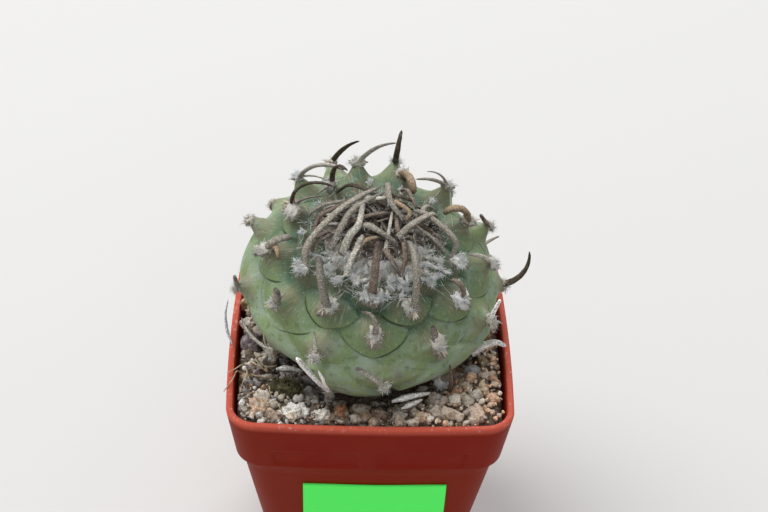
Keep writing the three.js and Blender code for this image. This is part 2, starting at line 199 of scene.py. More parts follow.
# Many small shapes gathered into one mesh, with numbers or colours painted on their points
class Pile:
    def __init__(self):
        self.points = []
        self.faces = []
        self.paint = {}
        self.count = 0

    def add(self, points, faces, **paint):
        points = np.asarray(points, float)
        size = len(points)
        self.points.append(points)
        for part in faces:
            self.faces.extend((part + self.count).tolist())
        for key, value in paint.items():
            value = np.asarray(value, float)
            perPoint = value.ndim > 0 and len(value) == size
            shape = (size, *(value.shape[1:] if perPoint else value.shape))
            self.paint.setdefault(key, []).append(np.broadcast_to(value, shape))
        self.count += size

    def addLoft(self, rings, **paint):
        self.add(loftPoints(rings), loftFaces(len(rings), len(rings[0])), **paint)

    def build(self, name, finish, slot, *replaced):
        mesh = bpy.data.meshes.new(name)
        mesh.from_pydata((np.concatenate(self.points) * mm).tolist(), [], self.faces)
        for key, values in self.paint.items():
            values = np.concatenate(values)
            kind, field = ("FLOAT", "value") if values.ndim == 1 else ("FLOAT_VECTOR", "vector")
            mesh.attributes.new(key, kind, "POINT").data.foreach_set(field, values.ravel())
        mesh.shade_smooth()
        mesh.materials.append(finish.material)
        piece = bpy.data.objects.new(name, mesh)
        bpy.context.scene.collection.objects.link(piece)
        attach(piece, "root")
        if replaced:
            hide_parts(*replaced)
        mesh.calc_loop_triangles()
        print("stage:", name, len(mesh.loop_triangles), "triangles")


def buildOne(name, finish, slot, node, points, faces, **paint):
    # a piece of one shape
    pile = Pile()
    pile.add(points, faces, **paint)
    pile.build(name, finish, slot, node)


def buildLoft(name, finish, slot, node, rings):
    buildOne(name, finish, slot, node, loftPoints(rings), loftFaces(len(rings), len(rings[0])))


def tubeRings(path, radii, around=8, flat=1.0, wide=(0.31, 0.17, 0.94)):
    # sections along a path: as wide as radii in the wide direction, thinner by flat across it
    path = np.asarray(path, float)
    along = unit(np.gradient(path, axis=0))
    aside = np.zeros_like(path)
    hold = np.asarray(wide, float)
    for i, direction in enumerate(along):
        hold = hold - direction * hold.dot(direction)
        hold = hold / max(np.linalg.norm(hold), 1e-9)
        aside[i] = hold
    over = np.cross(along, aside)
    angle = roundAngles(around)
    radii = np.asarray(radii)[:, None, None]
    return path[:, None] + radii * (aside[:, None] * np.cos(angle)[None, :, None]
                                    + over[:, None] * flat * np.sin(angle)[None, :, None])


ballCache = {}


def ball(detail):
    # points and faces of a round ball of radius 1
    if detail not in ballCache:
        form = bmesh.new()
        bmesh.ops.create_icosphere(form, subdivisions=detail, radius=1)
        points = np.array([v.co[:] for v in form.verts])
        faces = np.array([[v.index for v in f.verts] for f in form.faces])
        form.free()
        ballCache[detail] = (points, faces)
    return ballCache[detail]


def lump(draw, centre, radii, detail=2, rough=0.25, grain=0.6, turn=True, chips=0):
    # a pebble or clod: a ball pushed in and out by noise
    points, faces = ball(detail)
    shift = draw.uniform(-50, 50, 3)
    swell = 1 + rough * noiseAt(points + shift, grain)
    swell = swell + 0.35 * rough * noiseAt(points + shift, grain * 0.35)
    points = points * swell[:, None]
    for facing in unit(draw.normal(size=(chips, 3))):
        # a flat broken face
        points = points - np.maximum(points @ facing - draw.uniform(0.55, 0.8), 0)[:, None] * facing * 0.85
    points = points * np.asarray(radii)
    if turn:
        spin = np.array(Matrix.Rotation(draw.uniform(0, 6.28), 3, Vector(unit(draw.normal(size=3)))))
        points = points @ spin.T
    return points + centre, [faces]


# Plant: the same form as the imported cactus, in finer steps; angles are in degrees
plant = {
    "halfWidth": 27, "halfHeight": 15.3, "fullness": 2.46, "centre": (-0.45, 2.7, 63),
    "leanForward": 12.9, "leanRight": 4.6, "divergence": -138, "firstAzimuth": -10.4,
    "crownPolar": 21.9, "polarGrowth": 0.0405, "firstAreole": 4, "lastAreole": 49,
    "scaleHalfWidth": 7.8, "scaleDrop": 4.9, "scaleRise": 9.6,
    "coreInset": 3.2, "tipHeight": 1.5, "tipRadius": 2.2, "shrunk": 1.3, "dents": ((-43, 2.4), (36, 1.3)),
    "dentWidth": 23, "neckAt": (-1, 4.5), "neckRadius": 9, "rootDepth": 30, "rootTip": 2.2, "soilDrop": 4.2,
}
leanAside = Matrix.Rotation(rad(plant["leanRight"]), 3, "Y")
plantTurn = np.array(leanAside @ Matrix.Rotation(rad(plant["leanForward"]), 3, "X"))


def bend(value):
    return np.sign(value) * np.abs(value) ** (2 / plant["fullness"])


def plantPoint(azimuth, polar, inset=0.0):
    wide = plant["halfWidth"] - inset
    ring = bend(np.sin(polar))
    local = np.stack(np.broadcast_arrays(
        wide * ring * np.sin(azimuth),
        -wide * ring * np.cos(azimuth),
        (plant["halfHeight"] - inset) * bend(np.cos(polar))), -1)
    return local @ plantTurn.T + plant["centre"]


# A place on the plant's surface with its own directions
class Spot:
    def __init__(self, azimuth, polar, lift=0.0):
        step = 0.1
        self.azimuth = azimuth
        self.polar = polar
        fall = plantPoint(azimuth, polar + step) - plantPoint(azimuth, polar - step)
        sweep = plantPoint(azimuth + step, polar) - plantPoint(azimuth - step, polar)
        self.perDown = np.linalg.norm(fall) / (2 * step)
        self.perSide = np.linalg.norm(sweep) / (2 * step)
        self.down = unit(fall)
        self.side = unit(sweep)
        self.out = unit(np.cross(self.down, self.side))
        self.place = plantPoint(azimuth, polar) + lift * self.out

    def at(self, side=0.0, down=0.0, out=0.0):
        return self.place + side * self.side + down * self.down + out * self.out


# Areoles that grew off the regular spiral: millimetres aside and down
strays = {
    13: (0.4, -0.5), 14: (-0.5, 0.1), 15: (-1.1, 0.2), 18: (-0.4, 0.1), 20: (1.0, 1.0), 22: (-0.8, 0.7),
    24: (-0.1, 0.8), 26: (-0.3, -0.4), 27: (0.4, -0.6), 28: (1.2, -0.1), 30: (0.5, -0.1), 32: (-0.7, 1.6),
    34: (-0.7, -0.4), 36: (0.8, -0.9), 37: (0.1, 0.6), 39: (-0.5, -0.5), 40: (-1.5, 1.6), 41: (0.4, -1.4),
    42: (-0.6, 0.8), 44: (1.2, 1.5),
}


def signedAngle(degrees):
    return (degrees + 180) % 360 - 180


def spiralPlace(n):
    # where areole n belongs on the regular spiral: degrees round from the front and down from the crown
    azimuth = plant["firstAzimuth"] + plant["divergence"] * n
    return azimuth, plant["crownPolar"] + plant["polarGrowth"] * n * n


def tipHeight(n):
    # scales at the back end in a raised tip, and the lowest and youngest ones don't
    azimuth, row = spiralPlace(n)
    turned = 0.2 + 0.8 * smooth(95, 140, abs(signedAngle(azimuth)))
    return plant["tipHeight"] * turned * smooth(26, 34, row) * smooth(108, 80, row)


def drawnIn(row, side=180.0):
    # the old flank near the soil has shrunk a little, and most at two places of the front
    wide = plant["dentWidth"]
    dents = sum(depth * np.exp(-((side - middle) / wide) ** 2) for middle, depth in plant["dents"])
    return plant["shrunk"] * smooth(84, 112, row) + dents * smooth(82, 101, row)


def areole(n):
    azimuth, row = spiralPlace(n)
    regular = Spot(rad(azimuth), rad(row))
    aside, lower = strays.get(n, (0, 0))
    lift = tipHeight(n) - drawnIn(row, signedAngle(azimuth))
    return Spot(rad(azimuth) + aside / regular.perSide, rad(row) + lower / regular.perDown, lift)


areoles = {n: areole(n) for n in range(plant["firstAreole"], plant["lastAreole"] + 1)}

body = {
    "around": 520, "down": 172, "lastPolar": 163, "lipSlope": 1.7, "blend": 0.18, "corner": 1.45,
    "shoulder": 1.3, "coneHeight": 1.9, "coneRadius": 2.4, "longScale": 1.9, "crestRise": 0.3,
    "leftDent": 1.3, "leftDentAt": (-105, 70), "leftDentSize": (30, 16), "wideScale": 3.6,
    "crownDepth": 1.4, "oldFlank": 0.1, "underDepth": 1.2,
    "youngSkin": (0.072, 0.135, 0.082), "midSkin": (0.195, 0.28, 0.118), "oldSkin": (0.31, 0.37, 0.185),
    "backSlopeShade": (0.048, 0.122, 0.068), "bloom": (0.30, 0.37, 0.31), "stain": (0.19, 0.15, 0.10),
    "creaseShade": (0.03, 0.055, 0.02), "marginColour": (0.25, 0.31, 0.10), "cork": (0.23, 0.13, 0.07),
    "valleyShade": (0.018, 0.055, 0.036), "speck": (0.42, 0.45, 0.38), "darkPatch": (0.07, 0.11, 0.05),
    "streak": (0.42, 0.43, 0.34), "barkDark": (0.075, 0.045, 0.028), "barkLight": (0.22, 0.16, 0.10),
}


def bodyGrid():
    # rows of points an even step apart along the profile, from the crown down
    dense = np.linspace(0, rad(body["lastPolar"]), 4000)
    wide = plant["halfWidth"] * bend(np.sin(dense))
    profile = np.stack([wide, plant["halfHeight"] * bend(np.cos(dense))], 1)
    arc = lengthAlong(profile)
    polars = np.interp(np.linspace(arc[-1] / body["down"], arc[-1], body["down"]), arc, dense)
    azimuths = -roundAngles(body["around"])
    return [grid.ravel() for grid in np.meshgrid(polars, azimuths, indexing="ij")]


def leftDent(row, side):
    # round the areoles at the left the skin stands back further
    dentSide, dentRow = body["leftDentAt"]
    dentWide, dentTall = body["leftDentSize"]
    fromDent = ((side - dentSide) / dentWide, (row - dentRow) / dentTall)
    return body["leftDent"] * np.exp(-fromDent[0] ** 2 - fromDent[1] ** 2)


def coreDepth(row):
    # the core between the scales is deep near the crown, and nearly flush low on the flank
    depth = plant["coreInset"] + body["crownDepth"] * smooth(62, 40, row)
    depth = depth - body["oldFlank"] * smooth(64, 84, row)
    return depth + body["underDepth"] * smooth(122, 150, row)


def scaleField(n, spot, polar, azimuth, dent):
    # one scale, at each point of the grid: its depth under the full form, the distance past its edge,
    # how plainly its lower edge may show, and what is painted where this scale is the outermost
    level = np.degrees(spot.polar)
    old = smooth(45, 80, level)
    young = smooth(36, 30, level)
    grown = 0.3 + 0.7 * spot.perSide / plant["halfWidth"]
    fade = np.clip((rad(122) - spot.polar) / rad(30), 0.3, 1)
    # millimetres aside of the areole and below it, then both as shares of the scale's reach
    turn = (azimuth - spot.azimuth + np.pi) % (2 * np.pi) - np.pi
    aside = turn * spot.perSide
    along = (polar - spot.polar) * spot.perDown
    drop = plant["scaleDrop"] + body["longScale"] * smooth(32, 44, level) * smooth(86, 70, level)
    reach = np.where(along > 0, drop, plant["scaleRise"]) * grown
    halfWide = plant["scaleHalfWidth"] + body["wideScale"] * smooth(42, 64, level)
    across = np.abs(aside / (grown * halfWide))
    upward = along / reach
    corner = np.where(along > 0, body["corner"], body["shoulder"])
    share = (across ** corner + np.abs(upward) ** corner) ** (1 / corner)
    cosine = upward / np.maximum(np.hypot(across, upward), 1e-6)
    inner = np.minimum(share, 1)
    away = np.hypot(aside, along) / (grown * body["coneRadius"])
    height = body["coneHeight"] * (1 - 0.6 * smooth(70, 96, level)) + dent
    cone = height * (1 - np.exp(-away ** 2))
    # the crest of a scale runs over its areole, and the skin behind it falls away
    crest = -upward - body["crestRise"] * np.maximum(0, 1 - across ** 2)
    behind = (3.4 - 2.0 * smooth(44, 60, level)) * np.maximum(crest, 0)
    low = cone + (0.9 + 1.4 * young) * inner ** 1.5
    high = cone + (1.4 - 0.7 * old) * inner + behind
    relief = high + (low - high) * (0.5 + 0.5 * np.tanh(3 * cosine))
    past = (share - 1) * reach
    tip = tipHeight(n) * np.exp(-(aside ** 2 + (along + 0.3) ** 2) / plant["tipRadius"] ** 2)
    depth = grown * fade * relief + np.maximum(past, 0) * body["lipSlope"] - tip
    strength = smooth(0.03 + 0.45 * old, 0.3 + 0.5 * old, cosine) * (1 - 0.6 * old) * (1 - young)
    marks = {
        # back: painted shade on the slope behind each crest and over the young scales, where the crown's
        # wool and spines shade them
        "back": np.maximum(smooth(-0.02, 0.2, crest) * (1 - old), 0.8 * young),
        "face": inner * np.clip(cosine, 0, 1),
        # ridge: where a pale crest line is painted, partly bloom and partly painted highlight
        "ridge": np.exp(-(crest / 0.07) ** 2) * (1 - young) * smooth(0.12, 0.35, across),
        # its third number gives each scale streaks of its own
        "local": np.stack([aside, along, np.full(len(polar), n * 3.7)], 1),
    }
    return depth, past, strength, marks


def lowerEdges(scales, surface):
    # the signed distance past the nearest lower edge that shows, and how plainly it shows
    edge, edgeShown = np.full(len(surface), 9.0), np.zeros(len(surface))
    for depth, past, strength in scales:
        shown = smooth(1.2, 0.5, depth - surface) * strength
        nearer = (np.abs(past) < np.abs(edge)) & (shown > 0.02)
        edge = np.where(nearer, past, edge)
        edgeShown = np.where(nearer, shown, edgeShown)
    return edge, edgeShown


def makeBody():
    # the skin is the smooth union of the core and all scales
    polar, azimuth = bodyGrid()
    size = len(polar)
    # degrees down from the crown, and round from the front
    row = np.degrees(polar)
    side = np.degrees((azimuth + np.pi) % (2 * np.pi) - np.pi)
    shrunk = drawnIn(row, side)
    dent = leftDent(row, side)
    outermost = coreDepth(row) + shrunk
    total = np.exp(-outermost / body["blend"])
    painted = {"back": np.zeros(size), "face": np.zeros(size), "ridge": np.zeros(size),
               "local": np.zeros((size, 3)), "row": row}
    scales = []
    for n, spot in areoles.items():
        depth, past, strength, marks = scaleField(n, spot, polar, azimuth, dent)
        depth = depth + shrunk
        total += np.exp(-np.minimum(depth, 30) / body["blend"])
        nearer = depth < outermost
        outermost = np.where(nearer, depth, outermost)
        for key, values in marks.items():
            painted[key][nearer] = values[nearer]
        scales.append((depth, past, strength))
    surface = -body["blend"] * np.log(total)
    painted["edge"], painted["edgeShown"] = lowerEdges(scales, surface)
    painted["depth"] = outermost - shrunk
    # two more points close the crown's middle and the underside
    for key, values in painted.items():
        painted[key] = np.concatenate([values, np.zeros((2, *values.shape[1:]))])
    painted["row"][-1] = 165
    base = plantPoint(azimuth, polar)
    surface = surface + 0.2 * noiseAt(base, 5.0) + 0.07 * noiseAt(base, 1.5)
    crownMiddle = plantPoint(0.0, 0.0, 3.5)
    under = plantPoint(0.0, rad(body["lastPolar"]) + 0.15, 3.0)
    points = np.vstack([plantPoint(azimuth, polar, surface), crownMiddle, under])
    faces = loftFaces(body["down"], body["around"])
    buildOne("cactusBody", skinFinish(), "plant", "cactus", points, faces, **painted)


def skinFinish():
    finish = Finish("waxySkin", {"Specular IOR Level": 0.3})
    row = finish.painted("row")
    face = finish.painted("face")
    wander = (finish.noise(9, 2) - 0.5) * 24
    colour = finish.mix((row + wander).between(30, 66), body["youngSkin"], body["midSkin"])
    colour = finish.mix((row + wander).between(66, 108) * 0.8, colour, body["oldSkin"])
    mottled = finish.noise(2.6, 4, 0.62)
    # the lower margin of each scale is yellower, and its middle duller
    edge = finish.painted("edge")
    shown = finish.painted("edgeShown")
    margin = edge.between(-1.4, -0.2) * (1 - edge.between(-0.05, 0.15)) * shown
    colour = finish.mix(margin * 0.26, colour, body["marginColour"])
    colour = finish.mix((mottled - 0.4).clipped() * 1.1, colour, body["marginColour"])
    cloudy = finish.noise(3.6, 4, 0.62)
    # pale bluish bloom on the scales' upper shoulders, partly real bloom and partly a painted highlight
    # where they turn up to the light
    shoulderBloomAndSheen = row.between(48, 66) * (1 - face.between(0.02, 0.3)) * cloudy.between(0.34, 0.62)
    colour = finish.mix(shoulderBloomAndSheen * 0.6 + cloudy.between(0.55, 0.75) * 0.2, colour, body["bloom"])
    # painted shade: dark teal behind each crest and on the young scales near the crown
    colour = finish.mix(finish.painted("back") * 0.9, colour, body["backSlopeShade"])
    # a pale line along each crest, partly bloom and partly a painted highlight
    colour = finish.mix(finish.painted("ridge") * cloudy.between(0.38, 0.6) * 0.5, colour, body["bloom"])
    # painted shade in the deep hollows between the scales, fading out down the flank
    deep = finish.painted("depth").between(1.4, 3.4) * (1 - row.between(60, 85))
    colour = finish.mix(deep * 0.5, colour, body["valleyShade"])
    colour = finish.mix(finish.noise(0.5, 2, 0.6).between(0.60, 0.70) * 0.4, colour, body["speck"])
    blotch = finish.noise(1.5, 3, 0.6)
    colour = finish.mix((1 - blotch.between(0.34, 0.46)) * 0.42, colour, body["darkPatch"])
    # stains and streaks that run down from each areole
    local = finish.painted("local", 1)
    scaled = {"operation": "MULTIPLY"}
    stretched = finish.node("VectorMath", scaled, {0: local, 1: (3.4, 0.4, 1)})
    drawnOut = {"Vector": stretched, "Scale": 1.0, "Detail": 3.0, "Roughness": 0.6}
    streak = finish.node("TexNoise", None, drawnOut)
    inPlane = finish.node("VectorMath", scaled, {0: local, 1: (1, 1, 0)})
    distance = finish.node("VectorMath", {"operation": "LENGTH"}, {0: inPlane}, 1)
    nearAreole = 1 - distance.between(1.4, 5.6)
    colour = finish.mix(nearAreole * mottled.between(0.32, 0.56) * 0.62, colour, body["stain"])
    streaked = streak.between(0.52, 0.7) * (1 - distance.between(2.5, 6.0))
    colour = finish.mix(streaked * 0.4, colour, body["streak"])
    # painted shade: a dark line in the crease under each lower edge, where the scale above overlaps the one
    # below
    broken = 0.3 + 0.7 * finish.noise(7, 1).between(0.42, 0.56)
    line = (1 - edge.between(0.15, 0.45)) * edge.between(-0.2, 0.0) * broken
    colour = finish.mix((line * shown * 1.3).clipped() * 0.9, colour, body["creaseShade"])
    corky = finish.noise(6.5, 5, 0.65).between(0.66, 0.72) * 0.5
    colour = finish.mix(corky, colour, body["cork"])
    colour = finish.mix((row + wander * 0.4).between(122, 136) * 0.85, colour, body["cork"])
    finish.feed("Base Color", colour)
    finish.feed("Roughness", 0.46 + mottled * 0.3)
    finish.bump(finish.noise(0.6, 3) * 0.6 + streak * 0.3 + mottled * 0.6 - line * shown * 1.2, 0.12, 0.7)
    return finish


# Corky neck and the thick root that goes down into the soil
def makeRoot():
    top = rimTop + 4
    soilLevel = rimTop - plant["soilDrop"]
    neck = plant["neckRadius"]
    around = 96
    profile = [(plant["rootTip"], top - plant["rootDepth"]), (neck * 0.75, top - plant["rootDepth"] * 0.45),
               (neck, soilLevel), (neck + 2, soilLevel + 2.5), (neck + 7, top), (neck + 3, top + 1)]
    curve = curveThrough([(r, 0, z) for r, z in profile], 60)
    angle = -roundAngles(around)
    rings = np.stack([curve[:, None, 0] * np.cos(angle), curve[:, None, 0] * np.sin(angle),
                      np.repeat(curve[:, 2:3], around, 1)], -1)
    rings[..., :2] += plant["neckAt"]
    points = loftPoints(rings[::-1])
    outward = unit(points - [*plant["neckAt"], 0]) * [1, 1, 0]
    points = points - outward * 0.35 * np.abs(noiseAt(points * [1, 1, 2.2], 3.0))[:, None]
    finish = Finish("corkyRoot", {"Roughness": 0.9})
    grain = finish.noise(1.6, 5, 0.7)
    finish.feed("Base Color", finish.mix(grain.between(0.35, 0.7), body["barkDark"], body["barkLight"]))
    finish.bump(grain, 0.4)
    buildOne("cactusRoot", finish, "plant", "cactus", points, loftFaces(len(rings), around))


makeBody()
makeRoot()

# Colours of all spines
spineTints = {
    "grey": (0.26, 0.235, 0.195), "pale": (0.42, 0.395, 0.34), "dark": (0.065, 0.05, 0.032),
    "tan": (0.32, 0.235, 0.15), "white": (0.80, 0.79, 0.76), "brown": (0.185, 0.143, 0.112),
    "taupe": (0.22, 0.185, 0.155), "ash": (0.40, 0.41, 0.42),
}
# Flank spines: areole, length, first and last lean from straight out (degrees), swing, stoutness, colour
flankSpines = [
    (13, 11.8, 22, 54, -2, 1.05, "brown"), (14, 12.1, 0, 90, 7, 0.8, "dark"),
    (14, 6.5, 80, 95, 75, 0.4, "grey"), (17, 8.5, 42, 132, -30, 1.45, "tan"),
    (18, 16, 17, 146, 14, 1.05, "grey"), (19, 13, 2, 127, -12, 0.85, "dark"),
    (19, 7, 51, 106, -20, 0.5, "grey"), (20, 7.7, 6, 175, 16, 1.45, "tan"),
    (21, 11, 10, 95, -35, 1.3, "grey"), (22, 11.4, 36, 77, -43, 0.75, "pale"),
    (23, 6.1, -12, 172, 6, 0.9, "brown"), (24, 7.5, 40, 106, 14, 1.1, "grey"),
    (25, 9.2, 70, 105, 20, 0.85, "pale"), (25, 7.2, 37, 107, 27, 0.5, "pale"),
    (27, 12.9, 50, 117, -16, 0.9, "pale"), (27, 6.3, 85, 140, -40, 0.5, "pale"),
    (28, 7.2, 65, 110, -20, 0.8, "pale"), (29, 5.3, 43, 26, 17, 1.35, "grey"),
    (30, 9.7, 100, -55, 0, 0.92, "dark"), (31, 5.2, 95, 51, -11, 1.25, "taupe"),
    (33, 5.1, 90, 84, -4, 1.0, "brown"), (34, 5.0, 76, 60, -15, 0.6, "pale"),
    (35, 10.4, 66, 103, -24, 0.85, "dark"), (36, 4.9, 67, 57, 25, 0.9, "white"),
    (37, 4, 61, 70, 14, 1.0, "grey"), (39, 8.2, 91, 80, -47, 0.95, "pale"),
    (41, 9.6, 9, 101, 30, 0.95, "dark"), (42, 9, 60, 112, -75, 0.6, "pale"),
    (42, 7, 60, 190, -40, 0.45, "pale"), (46, 8.3, 68, 22, 2, 0.7, "grey"),
    (47, 13.5, 98, 108, -29, 1.3, "white"), (47, 11, 100, 102, -10, 0.85, "white"),
]
# curled ones: areole, places (millimetres aside, down and out), stoutness, colour
curled = [
    (26, [(0, 0, -0.5), (-0.1, -0.6, 2.0), (-0.3, -2.0, 3.3), (-1.3, -3.4, 3.8), (-3.0, -3.9, 3.4)], 0.8,
     "grey"),
    (18, [(0.2, 0, 0.2), (-0.8, -1.6, 1.1), (-2.2, -1.8, 1.3), (-3.3, -0.8, 0.9)], 0.3, "pale"),
    (23, [(1.3, 0.8, 0.2), (1.5, -1.0, 0.8), (1.7, -2.8, 1.0)], 0.55, "white"),
    (24, [(0.3, -1.6, 0.8), (1.2, -2.4, 1.2), (2.6, -2.8, 1.2), (4.2, -2.6, 0.6)], 1.0, "tan"),
    (29, [(0.2, -0.2, 0.2), (0.5, -1.6, 0.7), (0.6, -3.0, 0.9)], 0.6, "pale"),
]
# ones that stand out over the soil: places in millimetres over the rim, radius and colour
leaning = [
    ([(20.4, -5.6, -0.2), (22.8, -5.0, 1.3), (25.2, -4.6, 1.9), (27.4, -4.8, 1.2)], 0.95, "white"),
    ([(15.6, -15.2, -1.6), (15.6, -17.6, 2.8), (15.2, -19.4, 6.4), (14.8, -20.4, 10.0)], 0.5, "brown"),
]
spineLook = {"radius": 0.8, "around": 10, "steps": 22, "blunt": 0.72, "sharp": 0.35}


def spinePath(spot, length, start, end, swing, sunk=1.0):
    steps = spineLook["steps"]
    bends = rad(start + (end - start) * (np.arange(steps) + 0.5) / steps)
    turn = rad(swing)
    sideways = spot.side * np.sin(turn) - spot.down * np.cos(turn)
    moves = (length / steps) * (np.cos(bends)[:, None] * spot.out + np.sin(bends)[:, None] * sideways)
    walk = spot.place + np.cumsum(moves, axis=0)
    return np.vstack([spot.place - sunk * spot.out, spot.place, walk])


def addSpine(pile, draw, path, radius, tint, wide, tip, flat, dusk=0.5, light=1.0, foot=1.0):
    # tip and foot are shares of the radius, dusk darkens towards the tip, light brightens it all
    if tint == "white":
        dusk, light = 0.1, 1.25
    count = len(path)
    around = spineLook["around"]
    share = np.linspace(0, 1, count)
    shift = draw.uniform(-50, 50)
    wobble = 1 + 0.09 * noiseAt(np.stack([share * 9, share * 0, share * 0 + shift], 1), 1.0)
    radii = radius * (1 - (1 - tip) * share ** 1.8) * wobble * np.sqrt(1 - smooth(0.93, 1.0, share) * 0.8)
    radii = radii * (foot + (1 - foot) * smooth(0, 0.35, share))
    points = loftPoints(tubeRings(path, radii, around, flat, wide))
    run = lengthAlong(path)
    lengthwise = np.concatenate([np.repeat(run, around), [0, run[-1]]])
    tinted = np.asarray(spineTints[tint]) * draw.uniform(0.82, 1.15) * light
    fade = (1 - dusk * smooth(0.72, 1.0, np.concatenate([np.repeat(share, around), [0, 1]])))[:, None]
    rough = noiseAt(points + shift, 0.55)
    middle = np.vstack([np.repeat(path, around, axis=0), path[0], path[-1]])
    points = points + 0.07 * radius * rough[:, None] * unit(points - middle)
    rim = np.abs(np.cos(roundAngles(around))) ** 3
    shade = np.concatenate([np.tile(1.1 - 0.42 * rim, count), [1, 1]])[:, None]
    pile.add(points, loftFaces(count, around), tint=tinted * fade * shade, run=lengthwise + shift)


def spineFinish():
    finish = Finish("corkySpine", {"Specular IOR Level": 0.2})
    tint = finish.painted("tint", 0)
    speckle = finish.noise(0.32, 2, 0.5)
    blotch = finish.noise(1.3, 3, 0.6)
    dull = finish.mix(1.0, tint, (0.66, 0.64, 0.62), "MULTIPLY")
    bright = finish.mix(1.0, tint, (1.6, 1.63, 1.63), "MULTIPLY")
    colour = finish.mix(speckle.between(0.36, 0.52), dull, tint)
    colour = finish.mix(speckle.between(0.53, 0.66), colour, bright)
    colour = finish.mix(blotch.between(0.5, 0.72) * 0.25, colour, (0.36, 0.33, 0.30))
    finish.feed("Base Color", colour)
    finish.feed("Roughness", 0.6 + speckle * 0.3)
    rings = finish.node("Math", {"operation": "SINE"}, {0: finish.painted("run") * 17})
    finish.bump(speckle * 0.9 + rings * 0.1, 0.1)
    return finish


spineSkin = spineFinish()


def makeFlankSpines():
    draw = np.random.default_rng(51)
    pile = Pile()
    for n, course, stout, tint in curled:
        path = curveThrough([areoles[n].at(*place) for place in course], 24)
        addSpine(pile, draw, path, spineLook["radius"] * stout, tint, areoles[n].side, 0.35, 0.5)
    for n, length, start, end, swing, stout, tint in flankSpines:
        spot = areoles[n]
        path = spinePath(spot, length, start, end, swing)
        tip = spineLook["blunt"] if stout >= 0.9 and tint not in ("dark", "taupe") else spineLook["sharp"]
        addSpine(pile, draw, path, spineLook["radius"] * stout, tint, spot.side, tip, 0.62)
    for course, radius, tint in leaning:
        path = curveThrough(np.array(course) + [0, 0, rimTop], 24)
        addSpine(pile, draw, path, radius, tint, (0, 0, 1), 0.4, 0.9)
    pile.build("flankSpines", spineSkin, "wool_and_spines", "cactus")


makeFlankSpines()

# Crown tangle: each spine through a few places given as azimuth and angle from the crown's middle
# (degrees) and height over the skin, then stoutness and colour
crownPaths = [
    ([(-58, 31.8, 0), (-68, 23.6, 3.2), (-95, 11.5, 4.6), (-145, 8.2, 4.8), (180, 12.3, 4.2)], 1.15, "grey"),
    ([(-64, 26.5, 0), (-68, 20.8, 2.4), (-78, 9.8, 2.8)], 0.7, "brown"),
    ([(-89, 22.5, 0), (-98, 18.2, 2.6), (-109, 12.7, 3.8), (-129, 10.3, 4.0)], 0.75, "brown"),
    ([(-61, 18.3, 0), (-72, 10.7, 3.6), (-109, 6.3, 5.0), (174, 8.2, 5.0)], 1.15, "grey"),
    ([(-50, 14.2, 0.4), (-55, 9.2, 3.4), (-63, 5.3, 4.8), (-136, 5.5, 5.2)], 1.2, "pale"),
    ([(-30, 17.3, 0.2), (-35, 9.0, 3.2), (-38, 6.0, 4.0)], 1.0, "pale"),
    ([(-88, 12, 2), (-88, 4.6, 4.2), (-123, 1.6, 4.4), (141, 2.8, 4.0)], 0.8, "brown"),
    ([(-70, 12, 1.5), (-60, 4.0, 4.2), (-9, 3.6, 5.0), (34, 8.2, 3.8)], 1.15, "grey"),
    ([(172, 22, 1), (171, 12.0, 4.8), (152, 4.7, 5.2), (91, 5.7, 4.4)], 1.1, "grey"),
    ([(170, 8.2, 4.8), (137, 10.8, 4.4), (128, 17, 1.5)], 0.6, "dark"),
    ([(147, 14, 1.5), (147, 6.5, 4.8), (113, 7.7, 4.6), (93, 5.8, 4.2)], 0.9, "tan"),
    ([(47, 6.1, 3.4), (76, 7.5, 5.4), (105, 15, 4.6), (112, 22, 1)], 1.0, "grey"),
    ([(79, 29.4, 0), (86, 25.0, 2.8), (102, 13.0, 4.8), (112, 9.0, 4.8)], 1.2, "grey"),
    ([(80, 25.2, 0), (80, 17.9, 2.4), (90, 9.1, 3.8)], 0.8, "grey"),
    ([(8, 9, 3.9), (17, 13.9, 3.2), (24, 18.5, 0.8)], 0.85, "brown"),
    ([(-28, 21.5, 0.3), (-31, 14.5, 2.6), (-31, 9.3, 3.4)], 1.0, "pale"),
    ([(-34, 9, 2.4), (-24, 6.6, 4.0), (-3, 5.1, 4.2)], 0.8, "tan"),
    ([(96, 9.4, 3.8), (86, 15.3, 3.0), (86, 20.0, 0.6)], 0.7, "dark"),
    ([(45, 8.8, 3.8), (31, 14.9, 2.8), (22, 20.0, 0.6)], 0.75, "brown"),
    ([(150, 10.5, 3), (162, 4.5, 4.4), (-172, 4.8, 4.6), (-146, 6.2, 2.8)], 0.6, "dark"),
    ([(-145, 8.3, 4.2), (180, 5.6, 5.0), (165, 9.1, 3.8)], 0.8, "pale"),
    ([(12, 8.4, 3), (50, 2.5, 4.6), (143, 4.9, 3.6)], 0.55, "pale"),
    ([(49, 12.9, 1.2), (62, 4.7, 3.8), (108, 3.8, 4.2)], 0.8, "brown"),
    ([(-65, 14.3, 0.8), (-85, 9.2, 3.2), (-105, 7.7, 3.8)], 0.8, "brown"),
    ([(-145, 26, 0), (-150, 18, 3.0), (-165, 10, 4.4)], 0.9, "dark"),
    ([(128, 27, 0), (125, 18, 2.6), (112, 12, 3.2)], 0.8, "grey"),
    ([(160, 25, 0), (150, 17, 3.2), (120, 11, 4.2)], 0.85, "brown"),
    ([(-110, 27, 0), (-112, 18, 3.0), (-125, 11, 4.0)], 0.8, "grey"),
]
# The rest of the tangle is drawn at random, between two distances (degrees) from the crown's middle
crown = {
    "radius": 0.7, "drawn": 165, "reach": (3, 25), "shorterBehind": 0.3,
    "tints": ("brown", "dark", "grey", "taupe", "grey", "taupe", "pale"),
}


def crownPlace(azimuth, polar, height):
    return plantPoint(rad(azimuth), rad(polar), -np.asarray(height))


